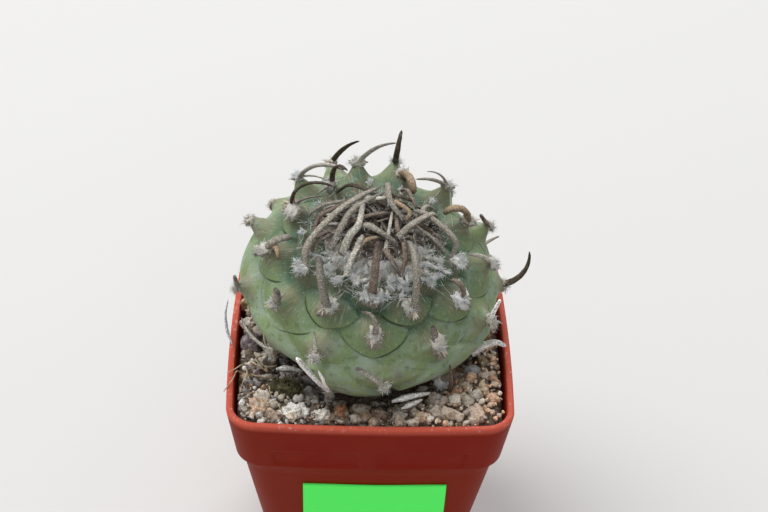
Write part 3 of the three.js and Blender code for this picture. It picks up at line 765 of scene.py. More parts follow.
def makeCrownSpines():
    draw = np.random.default_rng(204)
    pile = Pile()
    for places, stout, tint in crownPaths:
        path = curveThrough([crownPlace(*place) for place in places], 30)
        flatOn = np.cross(path[-1] - path[0], plantTurn @ [0, 0, 1])
        addSpine(pile, draw, path, crown["radius"] * stout, tint, flatOn, 0.55, 0.5, 0.35)
    low, high = crown["reach"]
    for i in range(crown["drawn"]):
        azimuth = rad(plant["divergence"] * i + draw.uniform(-12, 12))
        reach = low + (high - low) * math.sqrt((i + 0.5) / crown["drawn"])
        if reach > 13 and math.cos(azimuth) > 0.25:
            continue
        spot = Spot(azimuth, rad(reach * (1 - crown["shorterBehind"] * max(0, -math.cos(azimuth)))))
        length = draw.uniform(5, 12 - 0.2 * reach)
        start, end = draw.uniform(15, 55), draw.uniform(95, 130)
        path = spinePath(spot, length, start, end, draw.normal() * (50 - 1.4 * reach), 0.4)
        tint = crown["tints"][i % len(crown["tints"])]
        # spines in the tangle near the crown's middle are painted darker, as shade
        light = 0.55 + 0.4 * smooth(6, 22, reach)
        radius = crown["radius"] * draw.uniform(0.45, 1.0)
        addSpine(pile, draw, path, radius, tint, spot.side, 0.4, 0.5, 0.5, light)
    pile.build("crownSpines", spineSkin, "wool_and_spines", "crown_tuft")


makeCrownSpines()

# Wool of the crown and the areoles: colours, which pads are fresh, sizes in millimetres and counts
wool = {
    "white": (0.84, 0.87, 0.88), "cream": (0.56, 0.50, 0.39), "brown": (0.12, 0.08, 0.06),
    "shadow": (0.30, 0.33, 0.33), "padHairs": 150, "freshPads": (15, 16, 23, 27, 30, 44), "reach": 27,
    "padSize": (1.1, 1.6, 0.9), "cushionFoot": -2.2, "cushionRise": (2.3, 1.7), "lastHanging": 16,
    "hangingHairs": 66, "clumps": 64, "clumpHairs": 62, "webs": 420, "threads": 900, "hairRadius": 0.042,
}


def addHair(pile, start, heading, length, radius, draw, curl=0.5, tint=1.0, steps=4, hold=None):
    # a fine bent hair; hold keeps it near a surface with that normal
    bendTo = unit(draw.normal(size=3))
    here = np.asarray(start, float)
    path = [here]
    direction = unit(heading)
    for _ in range(steps - 1):
        direction = unit(direction + curl * bendTo * 0.45 + curl * draw.normal(size=3) * 0.2)
        if hold is not None:
            direction = unit(direction - 0.8 * hold * direction.dot(hold))
        here = here + direction * length / (steps - 1)
        path.append(here)
    rings = tubeRings(path, radius * np.linspace(1, 0.55, steps), 3, 1.0, draw.normal(size=3))
    pile.addLoft(rings, tone=tint)


def addBract(pile, draw, root, way, normal, length, width, tint):
    # a pale papery scale with a point, lying along way
    profile = np.array([0.6, 1.0, 0.95, 0.7, 0.4, 0.1])
    share = np.linspace(0, 1, len(profile))
    droop = draw.uniform(-0.25, 0.35)
    path = root + length * (share[:, None] * way + droop * share[:, None] ** 2 * normal)
    pile.addLoft(tubeRings(path, width * profile, 6, 0.28, np.cross(way, normal)), tone=tint)


def woolFinish():
    finish = Finish("areoleWool", {"Roughness": 0.95, "Specular IOR Level": 0.1, "Sheen Weight": 0.2})
    tone = finish.painted("tone")
    colour = finish.mix(tone.between(0, 0.5), wool["brown"], wool["cream"])
    colour = finish.mix(tone.between(0.5, 1), colour, wool["white"])
    matted = finish.noise(0.45, 4, 0.7)
    colour = finish.mix((1 - matted.between(0.32, 0.5)) * 0.3, colour, wool["shadow"])
    finish.feed("Base Color", colour)
    finish.bump(matted, 0.3)
    return finish


woolSkin = woolFinish()


def addTuft(pile, draw, spot, radii, hairs, tone, hairLength, low, aside=0.0):
    # a small bed of felted wool with loose hairs lying over it
    axes = np.stack([spot.side, spot.down, spot.out])
    points, faces = lump(draw, np.zeros(3), np.array(radii) * 0.95, 3, 0.6, 0.4, False)
    centre = spot.at(aside, low)
    pile.add(centre + points @ axes, faces, tone=tone * 0.88)
    for _ in range(hairs):
        normal = unit(draw.normal(size=3) + [0, 0.2, 0.7])
        around = unit(np.cross(normal, draw.normal(size=3)))
        heading = unit(around + normal * draw.uniform(0.0, 0.9) + [0, 0.4, 0])
        start = centre + (normal * radii * 0.8) @ axes
        length = hairLength * draw.uniform(0.5, 1.5)
        shade = tone * draw.uniform(0.8, 1.5)
        addHair(pile, start, heading @ axes, length, wool["hairRadius"] * 1.25, draw, 0.9, shade, 3)


def addClump(pile, draw, root, way, normal, length, width, hairs, tint=1.0):
    # a hanging clump of matted wool: a ragged core and hairs that fringe it, thickest at its end
    steps, around = 9, 10
    share = np.linspace(0, 1, steps)
    sag = draw.uniform(-0.2, 0.3)
    sway = draw.normal() * 0.35
    across = unit(np.cross(way, normal))
    path = root + length * (share[:, None] * way + sag * share[:, None] ** 2 * normal
                            + sway * share[:, None] ** 2 * across)
    rings = tubeRings(path, width * (0.42 + 0.42 * np.sin(share * 2.9)), around, 0.7, across)
    points = loftPoints(rings)
    points = points + 0.8 * width * noiseAt(points, 0.5, draw.uniform(0, 90))[:, None] * normal \
        + 0.8 * width * noiseAt(points, 0.4, draw.uniform(0, 90))[:, None] * across
    # the core is painted darker than its hairs, as shade under them
    pile.add(points, loftFaces(steps, around), tone=tint * 0.66)
    for _ in range(hairs):
        at = draw.uniform(0.1, 1.0) ** 0.7
        here = root + length * (at * way + sag * at ** 2 * normal + sway * at ** 2 * across)
        outward = unit(draw.normal() * across + draw.uniform(0.0, 1.2) * normal)
        heading = unit(way * draw.uniform(0.5, 1.8) + outward * draw.uniform(0.1, 0.8))
        start = here + outward * width * 0.6
        hairLength = draw.uniform(0.4, 1.2)
        shade = tint * draw.uniform(0.8, 1.2)
        addHair(pile, start, heading, hairLength, wool["hairRadius"], draw, 0.9, shade, 3)


def addCushion(pile):
    # a low uneven cushion, whiter towards its front rim and over its bumps; its dark brown middle is painted
    # shade under the crown's spines
    rings, tones = [], []
    around = 120
    azimuths = -roundAngles(around)
    spread = 1 - crown["shorterBehind"] * np.maximum(0, -np.cos(azimuths))
    upward = plantTurn @ [0, 0, 1]
    rimRise, middleRise = wool["cushionRise"]
    for share in np.linspace(1.0, 0.06, 26):
        height = wool["cushionFoot"] + rimRise * smooth(1.02, 0.75, share)
        height = height + middleRise * smooth(0.75, 0.25, share)
        ring = plantPoint(azimuths, rad(wool["reach"] * 0.72) * share * spread, -height)
        bumps = 1.0 * noiseAt(ring, 2.0) + 0.8 * noiseAt(ring, 0.8) + 0.5 * noiseAt(ring, 0.35)
        rings.append(ring + upward * bumps[:, None])
        white = (0.45 + 0.3 * smooth(-0.2, 0.6, np.cos(azimuths))) * smooth(0.5, 0.8, share)
        tones.append(np.clip(0.06 + white * (0.75 + 0.7 * bumps), 0.05, 1))
    pile.addLoft(rings[::-1], tone=np.concatenate([*tones[::-1], [0.06, 0.9]]))


def addHangingWool(pile, draw):
    # clumps that hang from the young areoles, then more of them all over the front
    for n in range(plant["firstAreole"], wool["lastHanging"] + 1):
        spot = areoles[n]
        behind = math.cos(spot.azimuth) < 0.15
        for turn in (0.0,) if behind else (-0.8, 0.0, 0.8):
            way = unit(spot.down + turn * spot.side + 0.25 * spot.out)
            length = draw.uniform(1.2, 2.2) * (0.6 if behind else 1)
            width = draw.uniform(0.3, 0.5)
            addClump(pile, draw, spot.at(turn * 0.7, -0.6, 0.4), way, spot.out, length, width,
                     wool["hangingHairs"])
    for i in range(wool["clumps"]):
        azimuth = rad(-56 + 128 * (i * 0.618 % 1))
        spot = Spot(azimuth, rad(draw.uniform(9, 24.5)), 0.6)
        way = unit(spot.down + draw.normal() * 0.45 * spot.side + draw.uniform(0, 0.4) * spot.out)
        length, width = draw.uniform(1.4, 3.4), draw.uniform(0.25, 0.5)
        tint = draw.uniform(0.85, 1.15)
        addClump(pile, draw, spot.place, way, spot.out, length, width, wool["clumpHairs"], tint)


def addLooseWool(pile, draw):
    # fine hairs over the skin, then threads and flakes caught between the crown's spines
    for _ in range(wool["webs"]):
        azimuth = rad(draw.normal() * 62)
        spot = Spot(azimuth, rad(draw.uniform(7, 31)), draw.uniform(0.1, 1.5))
        heading = spot.side * draw.normal() + spot.down * draw.normal()
        length = draw.uniform(1.2, 3.6)
        tone = draw.uniform(0.8, 1.2)
        addHair(pile, spot.place, heading, length, wool["hairRadius"] * 0.7, draw, 0.6, tone, 5, spot.out)
    for _ in range(wool["threads"]):
        polar = 25 * math.sqrt(draw.uniform(0.02, 1))
        azimuth = draw.uniform(-180, 180)
        height = draw.uniform(0.5, 1.1) * 5.2 * (1 - (polar / 28) ** 2)
        polar *= 1 - crown["shorterBehind"] * max(0, -math.cos(rad(azimuth)))
        spot = Spot(rad(azimuth), rad(polar), height)
        heading = draw.normal(size=3)
        length = draw.uniform(0.5, 1.6)
        tone = draw.uniform(0.35, 1.0)
        addHair(pile, spot.place, heading, length, wool["hairRadius"] * 1.1, draw, 0.9, tone, 3)


def makeCrownWool():
    draw = np.random.default_rng(77)
    pile = Pile()
    addCushion(pile)
    addHangingWool(pile, draw)
    addLooseWool(pile, draw)
    pile.build("crownWool", woolSkin, "wool_and_spines", "crown_tuft")


# Half sizes (side, down, out) of the larger pads, and how far each lies aside of and below its areole
padSizes = {
    13: (1.7, 1.6, 1.0, 0, -0.5), 14: (1.5, 1.1, 1.0, 0.4, 0.2), 17: (1.1, 1.2, 0.9, 0.3, 0.5),
    18: (1.2, 1.6, 0.9, -0.5, -0.5), 19: (1.9, 1.5, 1.2, 1.7, -0.8), 21: (1.2, 1.6, 0.9, 0.5, -0.5),
    22: (1.7, 0.9, 0.9, 0, 0.1), 23: (1.3, 1.9, 1.1, -0.6, 0.4), 26: (1.2, 1.9, 1.0, 0, -0.1),
    28: (1.4, 1.5, 1.0, 0, 0.9), 29: (0.9, 0.8, 0.7, 0, 0.3), 30: (1.0, 1.1, 0.9, 0, 0.1),
    31: (1.25, 2.1, 0.9, 0, -0.6), 32: (1.2, 0.9, 1.0, 0, 0), 34: (1.05, 1.15, 0.8, 0, 0.9),
    39: (0.95, 0.95, 0.8, 0, 0.1), 44: (1.1, 1.4, 1.5, -0.8, 1.3),
}
firstPad = 13


def makePads():
    draw = np.random.default_rng(33)
    pile = Pile()
    for n, spot in areoles.items():
        if n < firstPad:
            continue
        age = smooth(50, 110, np.degrees(spot.polar))
        usual = np.array(wool["padSize"]) * draw.uniform(0.8, 1.15)
        *radii, aside, low = padSizes.get(n, (*usual, 0, 0.4))
        radii = np.array(radii)
        tone = 0.95 if n in wool["freshPads"] else 0.76 - 0.2 * age
        addTuft(pile, draw, spot, radii, wool["padHairs"], tone, 1.0, low, aside)
        # stained older wool under the fresh one, and pale chaff that points down
        addTuft(pile, draw, spot, radii * [1.15, 1.1, 0.5], 12, 0.22, 0.5, 0.6)
        for _ in range(draw.integers(2, 5) if age < 0.3 else draw.integers(0, 2)):
            aside = draw.uniform(-0.6, 0.6)
            sideways = spot.side * (aside * 0.7 + draw.normal() * 0.25)
            way = unit(spot.down + sideways + spot.out * draw.uniform(0.1, 0.5))
            root = spot.at(aside, draw.uniform(0.6, 1.2), 0.45)
            length, width = draw.uniform(0.9, 2.1), draw.uniform(0.16, 0.34)
            addBract(pile, draw, root, way, spot.out, length, width, 0.5)
    pile.build("areolePads", woolSkin, "wool_and_spines", "cactus")


makeCrownWool()
makePads()

# Pot: square, tapered, with a collar; widths are across the outside, and panelEdges are along one side
pot = {
    "height": rimTop, "rimWidth": 55.7, "rimRounding": 0.6, "collarHeight": 12.3, "collarFootWidth": 52.8,
    "bodyTopWidth": 50.8, "baseWidth": 38, "cornerRadius": 6, "sideBow": 0.6, "baseBow": 0.2,
    "ledgeRise": 0.8, "wall": 1.3, "floor": 1.6, "panelDrop": 7.2, "panelDepth": 0.3,
    "panelEdges": (-19.6, -2.3, 1.2, 19.6), "sideReach": 22, "sideSteps": 33,
    "red": (0.225, 0.0085, 0.0005), "warm": (0.235, 0.02, 0.004), "litRed": (0.58, 0.11, 0.07),
    "scuff": (0.62, 0.42, 0.36),
}
collarFoot = pot["height"] - pot["collarHeight"]
ledgeTop = collarFoot + pot["wall"] + pot["ledgeRise"]


def bodyWidth(height):
    return pot["baseWidth"] + (pot["bodyTopWidth"] - pot["baseWidth"]) * height / collarFoot


def collarWidth(height):
    share = (height - ledgeTop) / (pot["height"] - ledgeTop)
    return pot["collarFootWidth"] + (pot["rimWidth"] - pot["collarFootWidth"]) * share - 2 * pot["wall"]


def sideStops():
    # where a side has points, as shares of its reach: evenly, and close on both sides of a panel's edge
    edge = 0.12
    stops = set(np.round(np.linspace(-1, 1, pot["sideSteps"])[:-1], 4))
    for x in pot["panelEdges"]:
        stops |= {round((x - edge) / pot["sideReach"], 4), round((x + edge) / pot["sideReach"], 4)}
    return np.array(sorted(stops))


def squareRing(width, height, radius, bow, recess=0.0):
    # a square with round corners and bowed sides; recess pushes in the two panels of each side
    flat = width / 2 - radius
    left, inLeft, inRight, right = pot["panelEdges"]
    stops = sideStops()
    marks = stops * pot["sideReach"]
    sunk = ((marks > left) & (marks < inLeft)) | ((marks > inRight) & (marks < right))
    angle = -np.pi / 2 + np.arange(10) / 10 * np.pi / 2
    straight = -width / 2 - bow * (1 - stops ** 2) + recess * sunk
    xs = np.concatenate([flat * stops, flat + radius * np.cos(angle)])
    ys = np.concatenate([straight, -flat + radius * np.sin(angle)])
    ring = []
    for side in range(4):
        turn = side * np.pi / 2
        ring.append(np.stack([xs * np.cos(turn) - ys * np.sin(turn), xs * np.sin(turn) + ys * np.cos(turn),
                              np.full(len(xs), height)], 1))
    return np.concatenate(ring)


def makePot():
    corner, bow, wall = pot["cornerRadius"], pot["sideBow"], pot["wall"]
    rounding, top, depth = pot["rimRounding"], pot["height"], pot["panelDepth"]
    base, footWidth, rimWidth = pot["baseWidth"], pot["collarFootWidth"], pot["rimWidth"]
    panelTop = top - pot["panelDrop"]

    def outer(width, height, sideBow=bow, recess=0.0):
        return squareRing(width, height, corner, sideBow, recess)

    def collar(height, recess=0.0):
        share = (height - collarFoot - 0.5) / (top - rounding - collarFoot - 0.5)
        return outer(footWidth + (rimWidth - footWidth) * share, height, bow, recess)

    # up the outside
    rings = [outer(base - 1, 0, pot["baseBow"]), outer(base - 0.3, 0.15, pot["baseBow"]),
             outer(base, 0.5, pot["baseBow"])]
    for height in np.linspace(0.5, collarFoot, 14)[1:]:
        share = height / collarFoot
        rings.append(outer(bodyWidth(height), height, pot["baseBow"] + (bow - pot["baseBow"]) * share))
    rings += [outer(footWidth - 0.5, collarFoot - 0.02), outer(footWidth - 0.1, collarFoot + 0.15)]
    rings += [collar(collarFoot + 0.5)]
    rings += [collar(collarFoot + 0.9, depth * 0.4), collar(collarFoot + 1.4, depth * 0.9)]
    rings += [collar(height, depth) for height in np.linspace(collarFoot + 2, panelTop - 0.3, 4)]
    rings += [collar(panelTop - 0.06, depth), collar(panelTop)]
    rings += [collar(panelTop + 0.3, -0.03), collar(panelTop + 0.7)]
    rings += [collar(height) for height in np.linspace(panelTop + 1.2, top - rounding, 4)]
    for angle in (20, 40, 60, 80, 90):
        inward = rounding * (1 - math.cos(rad(angle)))
        rings.append(outer(rimWidth - 2 * inward, top - rounding + rounding * math.sin(rad(angle))))
    # and down the inside
    inside = corner - wall
    mouth = rimWidth - 2 * wall
    rings += [squareRing(mouth + 0.3, top, inside + 0.15, bow),
              squareRing(mouth + 0.06, top - 0.08, inside, bow), squareRing(mouth, top - 0.3, inside, bow)]
    rings += [squareRing(collarWidth(h), h, inside, bow) for h in np.linspace(top - 1, ledgeTop, 5)]
    rings += [squareRing(pot["bodyTopWidth"] - 2 * wall, collarFoot + wall, inside, bow),
              squareRing(bodyWidth(pot["floor"]) - 2 * wall, pot["floor"], inside, pot["baseBow"])]
    buildLoft("potShell", potFinish(), "pot", "pot", rings)


def potFinish():
    finish = Finish("redBrownPlastic", {"Specular IOR Level": 0.1})
    height = finish.node("SeparateXYZ", None, {0: finish.place()}, 2) * 1000
    rimGlow = height.between(50.2, 51.6)
    worn = finish.noise(1.1, 6, 0.75)
    broad = finish.noise(14, 2)
    colour = finish.mix(broad.between(0.35, 0.7) * 0.6, pot["red"], pot["warm"])
    colour = finish.mix((1 - height.between(30, 44)) * 0.7, colour, pot["warm"])
    colour = finish.mix(rimGlow * 0.75, colour, pot["litRed"])
    colour = finish.mix(worn.between(0.57, 0.66) * height.between(51.0, 51.9) * 0.75, colour, pot["scuff"])
    colour = finish.mix(worn.between(0.66, 0.7) * 0.12, colour, pot["scuff"])
    finish.feed("Base Color", colour)
    finish.feed("Roughness", 0.38 + broad * 0.12 + worn * 0.12)
    finish.bump(worn * 0.5 + finish.noise(0.5, 2) * 0.3, 0.04)
    return finish


# Sticker on the front, bare
label = {
    "width": 28.5, "height": 12.5, "thick": 0.4, "drop": 18.2, "shift": 1.3, "air": 0.12, "across": 48,
    "up": 20, "green": (0.10, 0.80, 0.13), "shade": (0.07, 0.68, 0.11), "glow": 0.25,
}


def makeLabel():
    top = pot["height"] - label["drop"]

    def front(x, z):
        flat = bodyWidth(z) / 2 - pot["cornerRadius"]
        bow = pot["baseBow"] + (pot["sideBow"] - pot["baseBow"]) * z / collarFoot
        return -bodyWidth(z) / 2 - bow * np.maximum(0, 1 - (x / flat) ** 2)

    xs = label["shift"] + label["width"] * (np.linspace(0, 1, label["across"] + 1) - 0.5)
    rings = []
    for z in np.linspace(top - label["height"], top, label["up"] + 1):
        ripple = 0.03 * np.sin(xs * 0.9 + z)
        face = np.stack([xs, front(xs, z) - label["air"] - label["thick"] + ripple, np.full(len(xs), z)], 1)
        back = np.stack([xs, front(xs, z) - label["air"], np.full(len(xs), z)], 1)
        rings.append(np.vstack([face, back[::-1]]))
    finish = Finish("greenPaper", {"Roughness": 0.75, "Specular IOR Level": 0.1,
                                   "Emission Strength": label["glow"],
                                   "Emission Color": (0.1, 1.0, 0.14, 1)})
    fibre = finish.noise(0.8, 5, 0.7)
    finish.feed("Base Color", finish.mix(fibre * 0.35, label["green"], label["shade"]))
    finish.bump(fibre, 0.03)
    buildLoft("greenLabel", finish, "label", "label", rings)


makePot()
makeLabel()

# Soil: a bed that fills the pot, with grit of many sizes on it
soil = {
    "drop": 2.7, "gap": 0.3, "lumps": 520, "grains": 1500, "crumbs": 2600, "hollow": 2.2,
    "plantAt": (-0.5, 1.5), "plantReach": 22.5, "scatterHalf": 26.5,
    "dark": (0.045, 0.034, 0.027), "dusty": (0.24, 0.18, 0.13), "pale": (0.42, 0.33, 0.25),
}
soilCorner = pot["cornerRadius"] - pot["wall"] - soil["gap"]
# grit colours by part of the pot: pale and pinkish at the right, dark and mixed in front, grey at the left
gritColours = {
    "right": [(0.72, 0.50, 0.34), (0.78, 0.62, 0.46), (0.60, 0.37, 0.24), (0.74, 0.66, 0.54),
              (0.52, 0.42, 0.33), (0.68, 0.44, 0.30), (0.34, 0.25, 0.18), (0.82, 0.76, 0.66)],
    "front": [(0.34, 0.24, 0.17), (0.24, 0.17, 0.12), (0.45, 0.36, 0.28), (0.14, 0.11, 0.10),
              (0.50, 0.44, 0.37)],
    "left": [(0.45, 0.40, 0.34), (0.24, 0.22, 0.22), (0.58, 0.50, 0.40), (0.16, 0.14, 0.15),
             (0.62, 0.60, 0.56), (0.40, 0.27, 0.17)],
}


def plantDistance(x, y):
    # distance in plan from the plant's middle, as a share of its reach low over the soil
    return np.hypot(x - soil["plantAt"][0], y - soil["plantAt"][1]) / soil["plantReach"]


def soilHeight(x, y):
    # height over the base: rough, and hollow close under the plant
    level = rimTop - soil["drop"]
    away = plantDistance(x, y)
    return level - soil["hollow"] * smooth(1.04, 0.84, away) + 0.8 * smooth(1.0, 1.2, away) \
        + (0.6 + 0.6 * (x < 0)) * smooth(20.5, 24, np.abs(x)) \
        + 0.3 * np.sin(x * 0.35 + 1) * np.cos(y * 0.4) + 0.9 * smooth(-17, -23, x) * smooth(-12, -4, y)


def makeSoilBed():
    gap, wall, bow = soil["gap"], pot["wall"], pot["sideBow"]
    foot = pot["floor"] + gap
    level = rimTop - soil["drop"] - 0.6
    wide = pot["bodyTopWidth"] - 2 * wall - 2 * gap
    rings = [squareRing(bodyWidth(foot) - 2 * wall - 2 * gap, foot, soilCorner, pot["baseBow"]),
             squareRing(wide, collarFoot + wall, soilCorner, bow),
             squareRing(wide, collarFoot + wall + gap, soilCorner, bow)]
    outer = squareRing(collarWidth(level) - 2 * gap, level, soilCorner, bow)
    for share in np.linspace(1, 0.04, 80):
        ring = outer * [share, share, 1]
        lift = soilHeight(ring[:, 0], ring[:, 1]) - level
        lift = lift + 0.6 * noiseAt(ring, 2.0, 3.3) + 0.3 * noiseAt(ring, 0.7, 9.1)
        ring[:, 2] += lift * smooth(1.0, 0.94, share)
        rings.append(ring)
    finish = Finish("darkSoil", {"Roughness": 0.97, "Specular IOR Level": 0.1})
    fine = finish.noise(0.9, 6, 0.75)
    colour = finish.mix(fine.between(0.4, 0.62), soil["dark"], soil["dusty"])
    colour = finish.mix(finish.noise(4, 3).between(0.45, 0.7) * 0.4, colour, soil["pale"])
    finish.feed("Base Color", colour)
    finish.bump(fine, 0.5)
    buildLoft("soilBed", finish, "soil", "soil", rings)


def gritFinish():
    finish = Finish("mineralGrit", {"Roughness": 0.93, "Specular IOR Level": 0.12})
    tint = finish.painted("tint", 0)
    crust = finish.noise(0.6, 6, 0.75)
    blotch = finish.noise(1.6, 3)
    shaded = finish.mix(1.0, tint, (0.42, 0.36, 0.32), "MULTIPLY")
    colour = finish.mix(crust.between(0.36, 0.56), shaded, tint)
    colour = finish.mix(blotch.between(0.5, 0.66) * 0.45, colour, (0.66, 0.63, 0.58))
    colour = finish.mix(crust.between(0.60, 0.68) * 0.6, colour, (0.80, 0.78, 0.74))
    finish.feed("Base Color", colour)
    finish.bump(crust, 0.35)
    return finish


gritSkin = gritFinish()

# Stones of their own: node, place, radii, colour, roughness of form
stones = [
    ("white_crusted_clump_1", (-14.6, -21.3, -2.6), (3, 2.3, 2.1), (0.95, 0.93, 0.87), 0.4),
    ("white_crusted_clump_2", (-9.4, -22.4, -2.9), (2.1, 2, 1.9), (0.95, 0.91, 0.82), 0.4),
    ("brown_stone", (-5.6, -21.6, -2.5), (1.5, 2.2, 2), (0.34, 0.165, 0.09), 0.12),
    ("tan_clump", (-21, -19, -2.8), (2.4, 2.1, 1.8), (0.56, 0.43, 0.30), 0.34),
    ("grey_stone", (-24.1, -3.2, -0.9), (2.2, 2.5, 2.6), (0.20, 0.155, 0.165), 0.12),
    ("lilac_pebble", (20.6, -8.8, -2.6), (1.9, 1.8, 1.6), (0.52, 0.51, 0.55), 0.08),
]
# Moss tuft at the front left: place over the rim, half sizes, half sizes that grit keeps clear of
moss = {
    "place": (-16.6, -15.5, -2.3), "size": (2.8, 2.4, 1.8), "clear": (3.0, 2.7, 2.4), "blades": 300,
    "dark": (0.045, 0.042, 0.024), "light": (0.18, 0.155, 0.08),
}
# Larger clods: place in plan, height over the rim, radius and colour
clods = [
    (-26.2, 9.6, -1.3, 1.5, (0.40, 0.25, 0.12)), (-25.0, 3.2, -1.3, 1.5, (0.74, 0.66, 0.58)),
    (-21.0, -18.0, -2.2, 2.0, (0.84, 0.76, 0.66)), (-21.6, -20.9, -2.4, 2.2, (0.70, 0.50, 0.36)),
    (-18.7, -22.6, -2.6, 1.6, (0.66, 0.52, 0.40)), (-16.6, -12.4, -1.5, 1.1, (0.40, 0.36, 0.33)),
    (-23.6, -22.3, -2.2, 1.2, (0.82, 0.78, 0.74)), (-22.7, -11.8, -1.9, 1.2, (0.15, 0.11, 0.10)),
    (-24.2, -14.8, -1.9, 1.2, (0.22, 0.17, 0.15)), (-4.9, -22.4, -2.4, 1.3, (0.16, 0.13, 0.11)),
    (-1.6, -20.4, -2.7, 2.0, (0.40, 0.32, 0.25)), (1.8, -21.8, -2.7, 1.8, (0.30, 0.21, 0.16)),
    (5.4, -22.4, -2.4, 1.4, (0.66, 0.62, 0.56)), (12.9, -18.4, -2.5, 2.1, (0.72, 0.62, 0.54)),
    (15.8, -22.2, -2.6, 2.2, (0.80, 0.66, 0.52)), (14.8, -13.6, -2.0, 1.0, (0.82, 0.80, 0.72)),
    (22.4, -14.5, -2.2, 1.7, (0.82, 0.66, 0.46)), (23.2, -10.9, -2.2, 1.7, (0.72, 0.58, 0.48)),
    (22.9, -6.6, -2.0, 1.3, (0.48, 0.38, 0.26)), (24.0, 0.8, -1.2, 1.1, (0.42, 0.26, 0.13)),
    (19.6, -17.9, -2.4, 1.7, (0.70, 0.62, 0.50)), (21.0, -21.2, -2.4, 1.9, (0.78, 0.60, 0.46)),
]
# what scattered grit keeps clear of: stones, clods, moss and the fallen spine beside the moss
occupied = [(place, radii) for _, place, radii, *_ in stones]
occupied += [((x, y, z), (size, size, size)) for x, y, z, size, _ in clods]
occupied += [(moss["place"], moss["clear"]), ((-16, -10.8, -0.4), (3.4, 1.2, 2.0))]


def makeStones():
    slots = {piece["node"]: piece["material_slot"] for piece in frame["record"]["subparts"]}
    for i, (node, place, radii, tint, rough) in enumerate(stones):
        draw = np.random.default_rng(900 + i)
        middle = np.array(place) + [0, 0, rimTop]
        points, faces = lump(draw, middle, np.array(radii) * 0.98, 5, rough, 0.4, False)
        first, *others = node.split("_")
        name = first + "".join(word.capitalize() for word in others)
        buildOne(name, gritSkin, slots[node], node, points, faces, tint=tint)


def insidePot(x, y, margin):
    half = collarWidth(rimTop - 2) / 2 - soil["gap"] - margin
    flat = half - soilCorner
    return math.hypot(max(abs(x) - flat, 0), max(abs(y) - flat, 0)) < soilCorner


def clearOfPlant(x, y, z, radius):
    # true where a grain lies outside the body's own form
    local = (np.array([x, y, z]) - plant["centre"]) @ plantTurn
    wide, tall = plant["halfWidth"] + radius * 0.2, plant["halfHeight"] + radius * 0.2
    aside = (math.hypot(local[0], local[1]) / wide) ** plant["fullness"]
    return aside + (abs(local[2]) / tall) ** plant["fullness"] > 1


def clearOfStones(x, y, z, radius):
    for place, radii in occupied:
        away = (np.array([x, y, z]) - np.array(place) - [0, 0, rimTop]) / (np.array(radii) + radius * 0.9)
        if away.dot(away) < 1:
            return False
    return True


def gritZone(x, y):
    if x < -20 and y > -3:
        return "front"
    if x < -9:
        return "left"
    return "right" if x > 8.5 or y > 0 else "front"


def scatterGrit(name, seed, count, sizes, detail, rough, placed=()):
    draw = np.random.default_rng(seed)
    pile = Pile()
    half = soil["scatterHalf"]
    for _ in range(count):
        x, y = draw.uniform(-half, half, 2)
        away = plantDistance(x, y)
        radius = draw.uniform(*sizes)
        shape = radius * draw.uniform(0.65, 1.25, 3) * [1, 1, 0.85]
        z = soilHeight(x, y) + radius * draw.uniform(-0.1, 0.6)
        z = z + draw.uniform(0, 1.1) * (away > 1.02)
        colours = gritColours[gritZone(x, y)]
        tint = np.array(colours[draw.integers(len(colours))]) * draw.uniform(0.9, 1.65)
        if not insidePot(x, y, radius * 0.65) or away < 0.7:
            continue
        if not clearOfPlant(x, y, z, radius) or not clearOfStones(x, y, z, radius):
            continue
        shade = 0.5 + 0.5 * smooth(0.93, 1.06, away)
        middle = np.array([x, y, min(z, rimTop - 0.5 - 0.6 * radius)])
        points, faces = lump(draw, middle, shape * 1.12, detail, rough, 0.6, True, 7)
        pile.add(points, faces, tint=tint * shade)
    for x, y, z, radius, tint in placed:
        shape = radius * draw.uniform(0.85, 1.15, 3) * [1.15, 1.1, 0.95]
        points, faces = lump(draw, np.array([x, y, rimTop + z]), shape, detail + 1, 0.55, 0.5, True, 4)
        pile.add(points, faces, tint=tint)
    pile.build(name, gritSkin, "soil", "soil")


makeSoilBed()
makeStones()
scatterGrit("gritLumps", 4242, soil["lumps"], (0.9, 1.7), 3, 0.5, clods)
scatterGrit("gritGrains", 77, soil["grains"], (0.4, 0.9), 2, 0.35)
scatterGrit("gritCrumbs", 78, soil["crumbs"], (0.18, 0.4), 1, 0.25)

# Old spines lying loose: node, places over the rim, radius and colour
fallen = [
    ("fallen_spine_1", [(-18.7, -10.4, -1.0), (-16.2, -10.8, -0.4), (-13.5, -11.6, -0.3)], 0.75, "white"),
    ("fallen_spine_2", [(4.2, -18.6, -1.6), (8, -17.8, -0.9), (12, -16.6, -1.0)], 0.9, "white"),
    ("fallen_spine_3", [(6, -20.8, -1.4), (8.4, -19.6, -1.1), (10.2, -18.3, -1.2)], 0.72, "white"),
    ("fallen_spine_4", [(-27.7, -5.4, 0.9), (-28.9, -2.4, 2), (-29.4, 0.6, 3.8), (-29, 3, 5.6)], 0.5, "ash"),
]


def makeFallen():
    for i, (node, places, radius, tint) in enumerate(fallen):
        draw = np.random.default_rng(60 + i)
        path = curveThrough(np.array(places) + [0, 0, rimTop], 26)
        pile = Pile()
        addSpine(pile, draw, path, radius, tint, (0, 0, 1), 0.3, 0.7, 0.15, foot=0.4)
        pile.build("fallenSpine" + node[-1], spineSkin, "white_spine", node)


makeFallen()

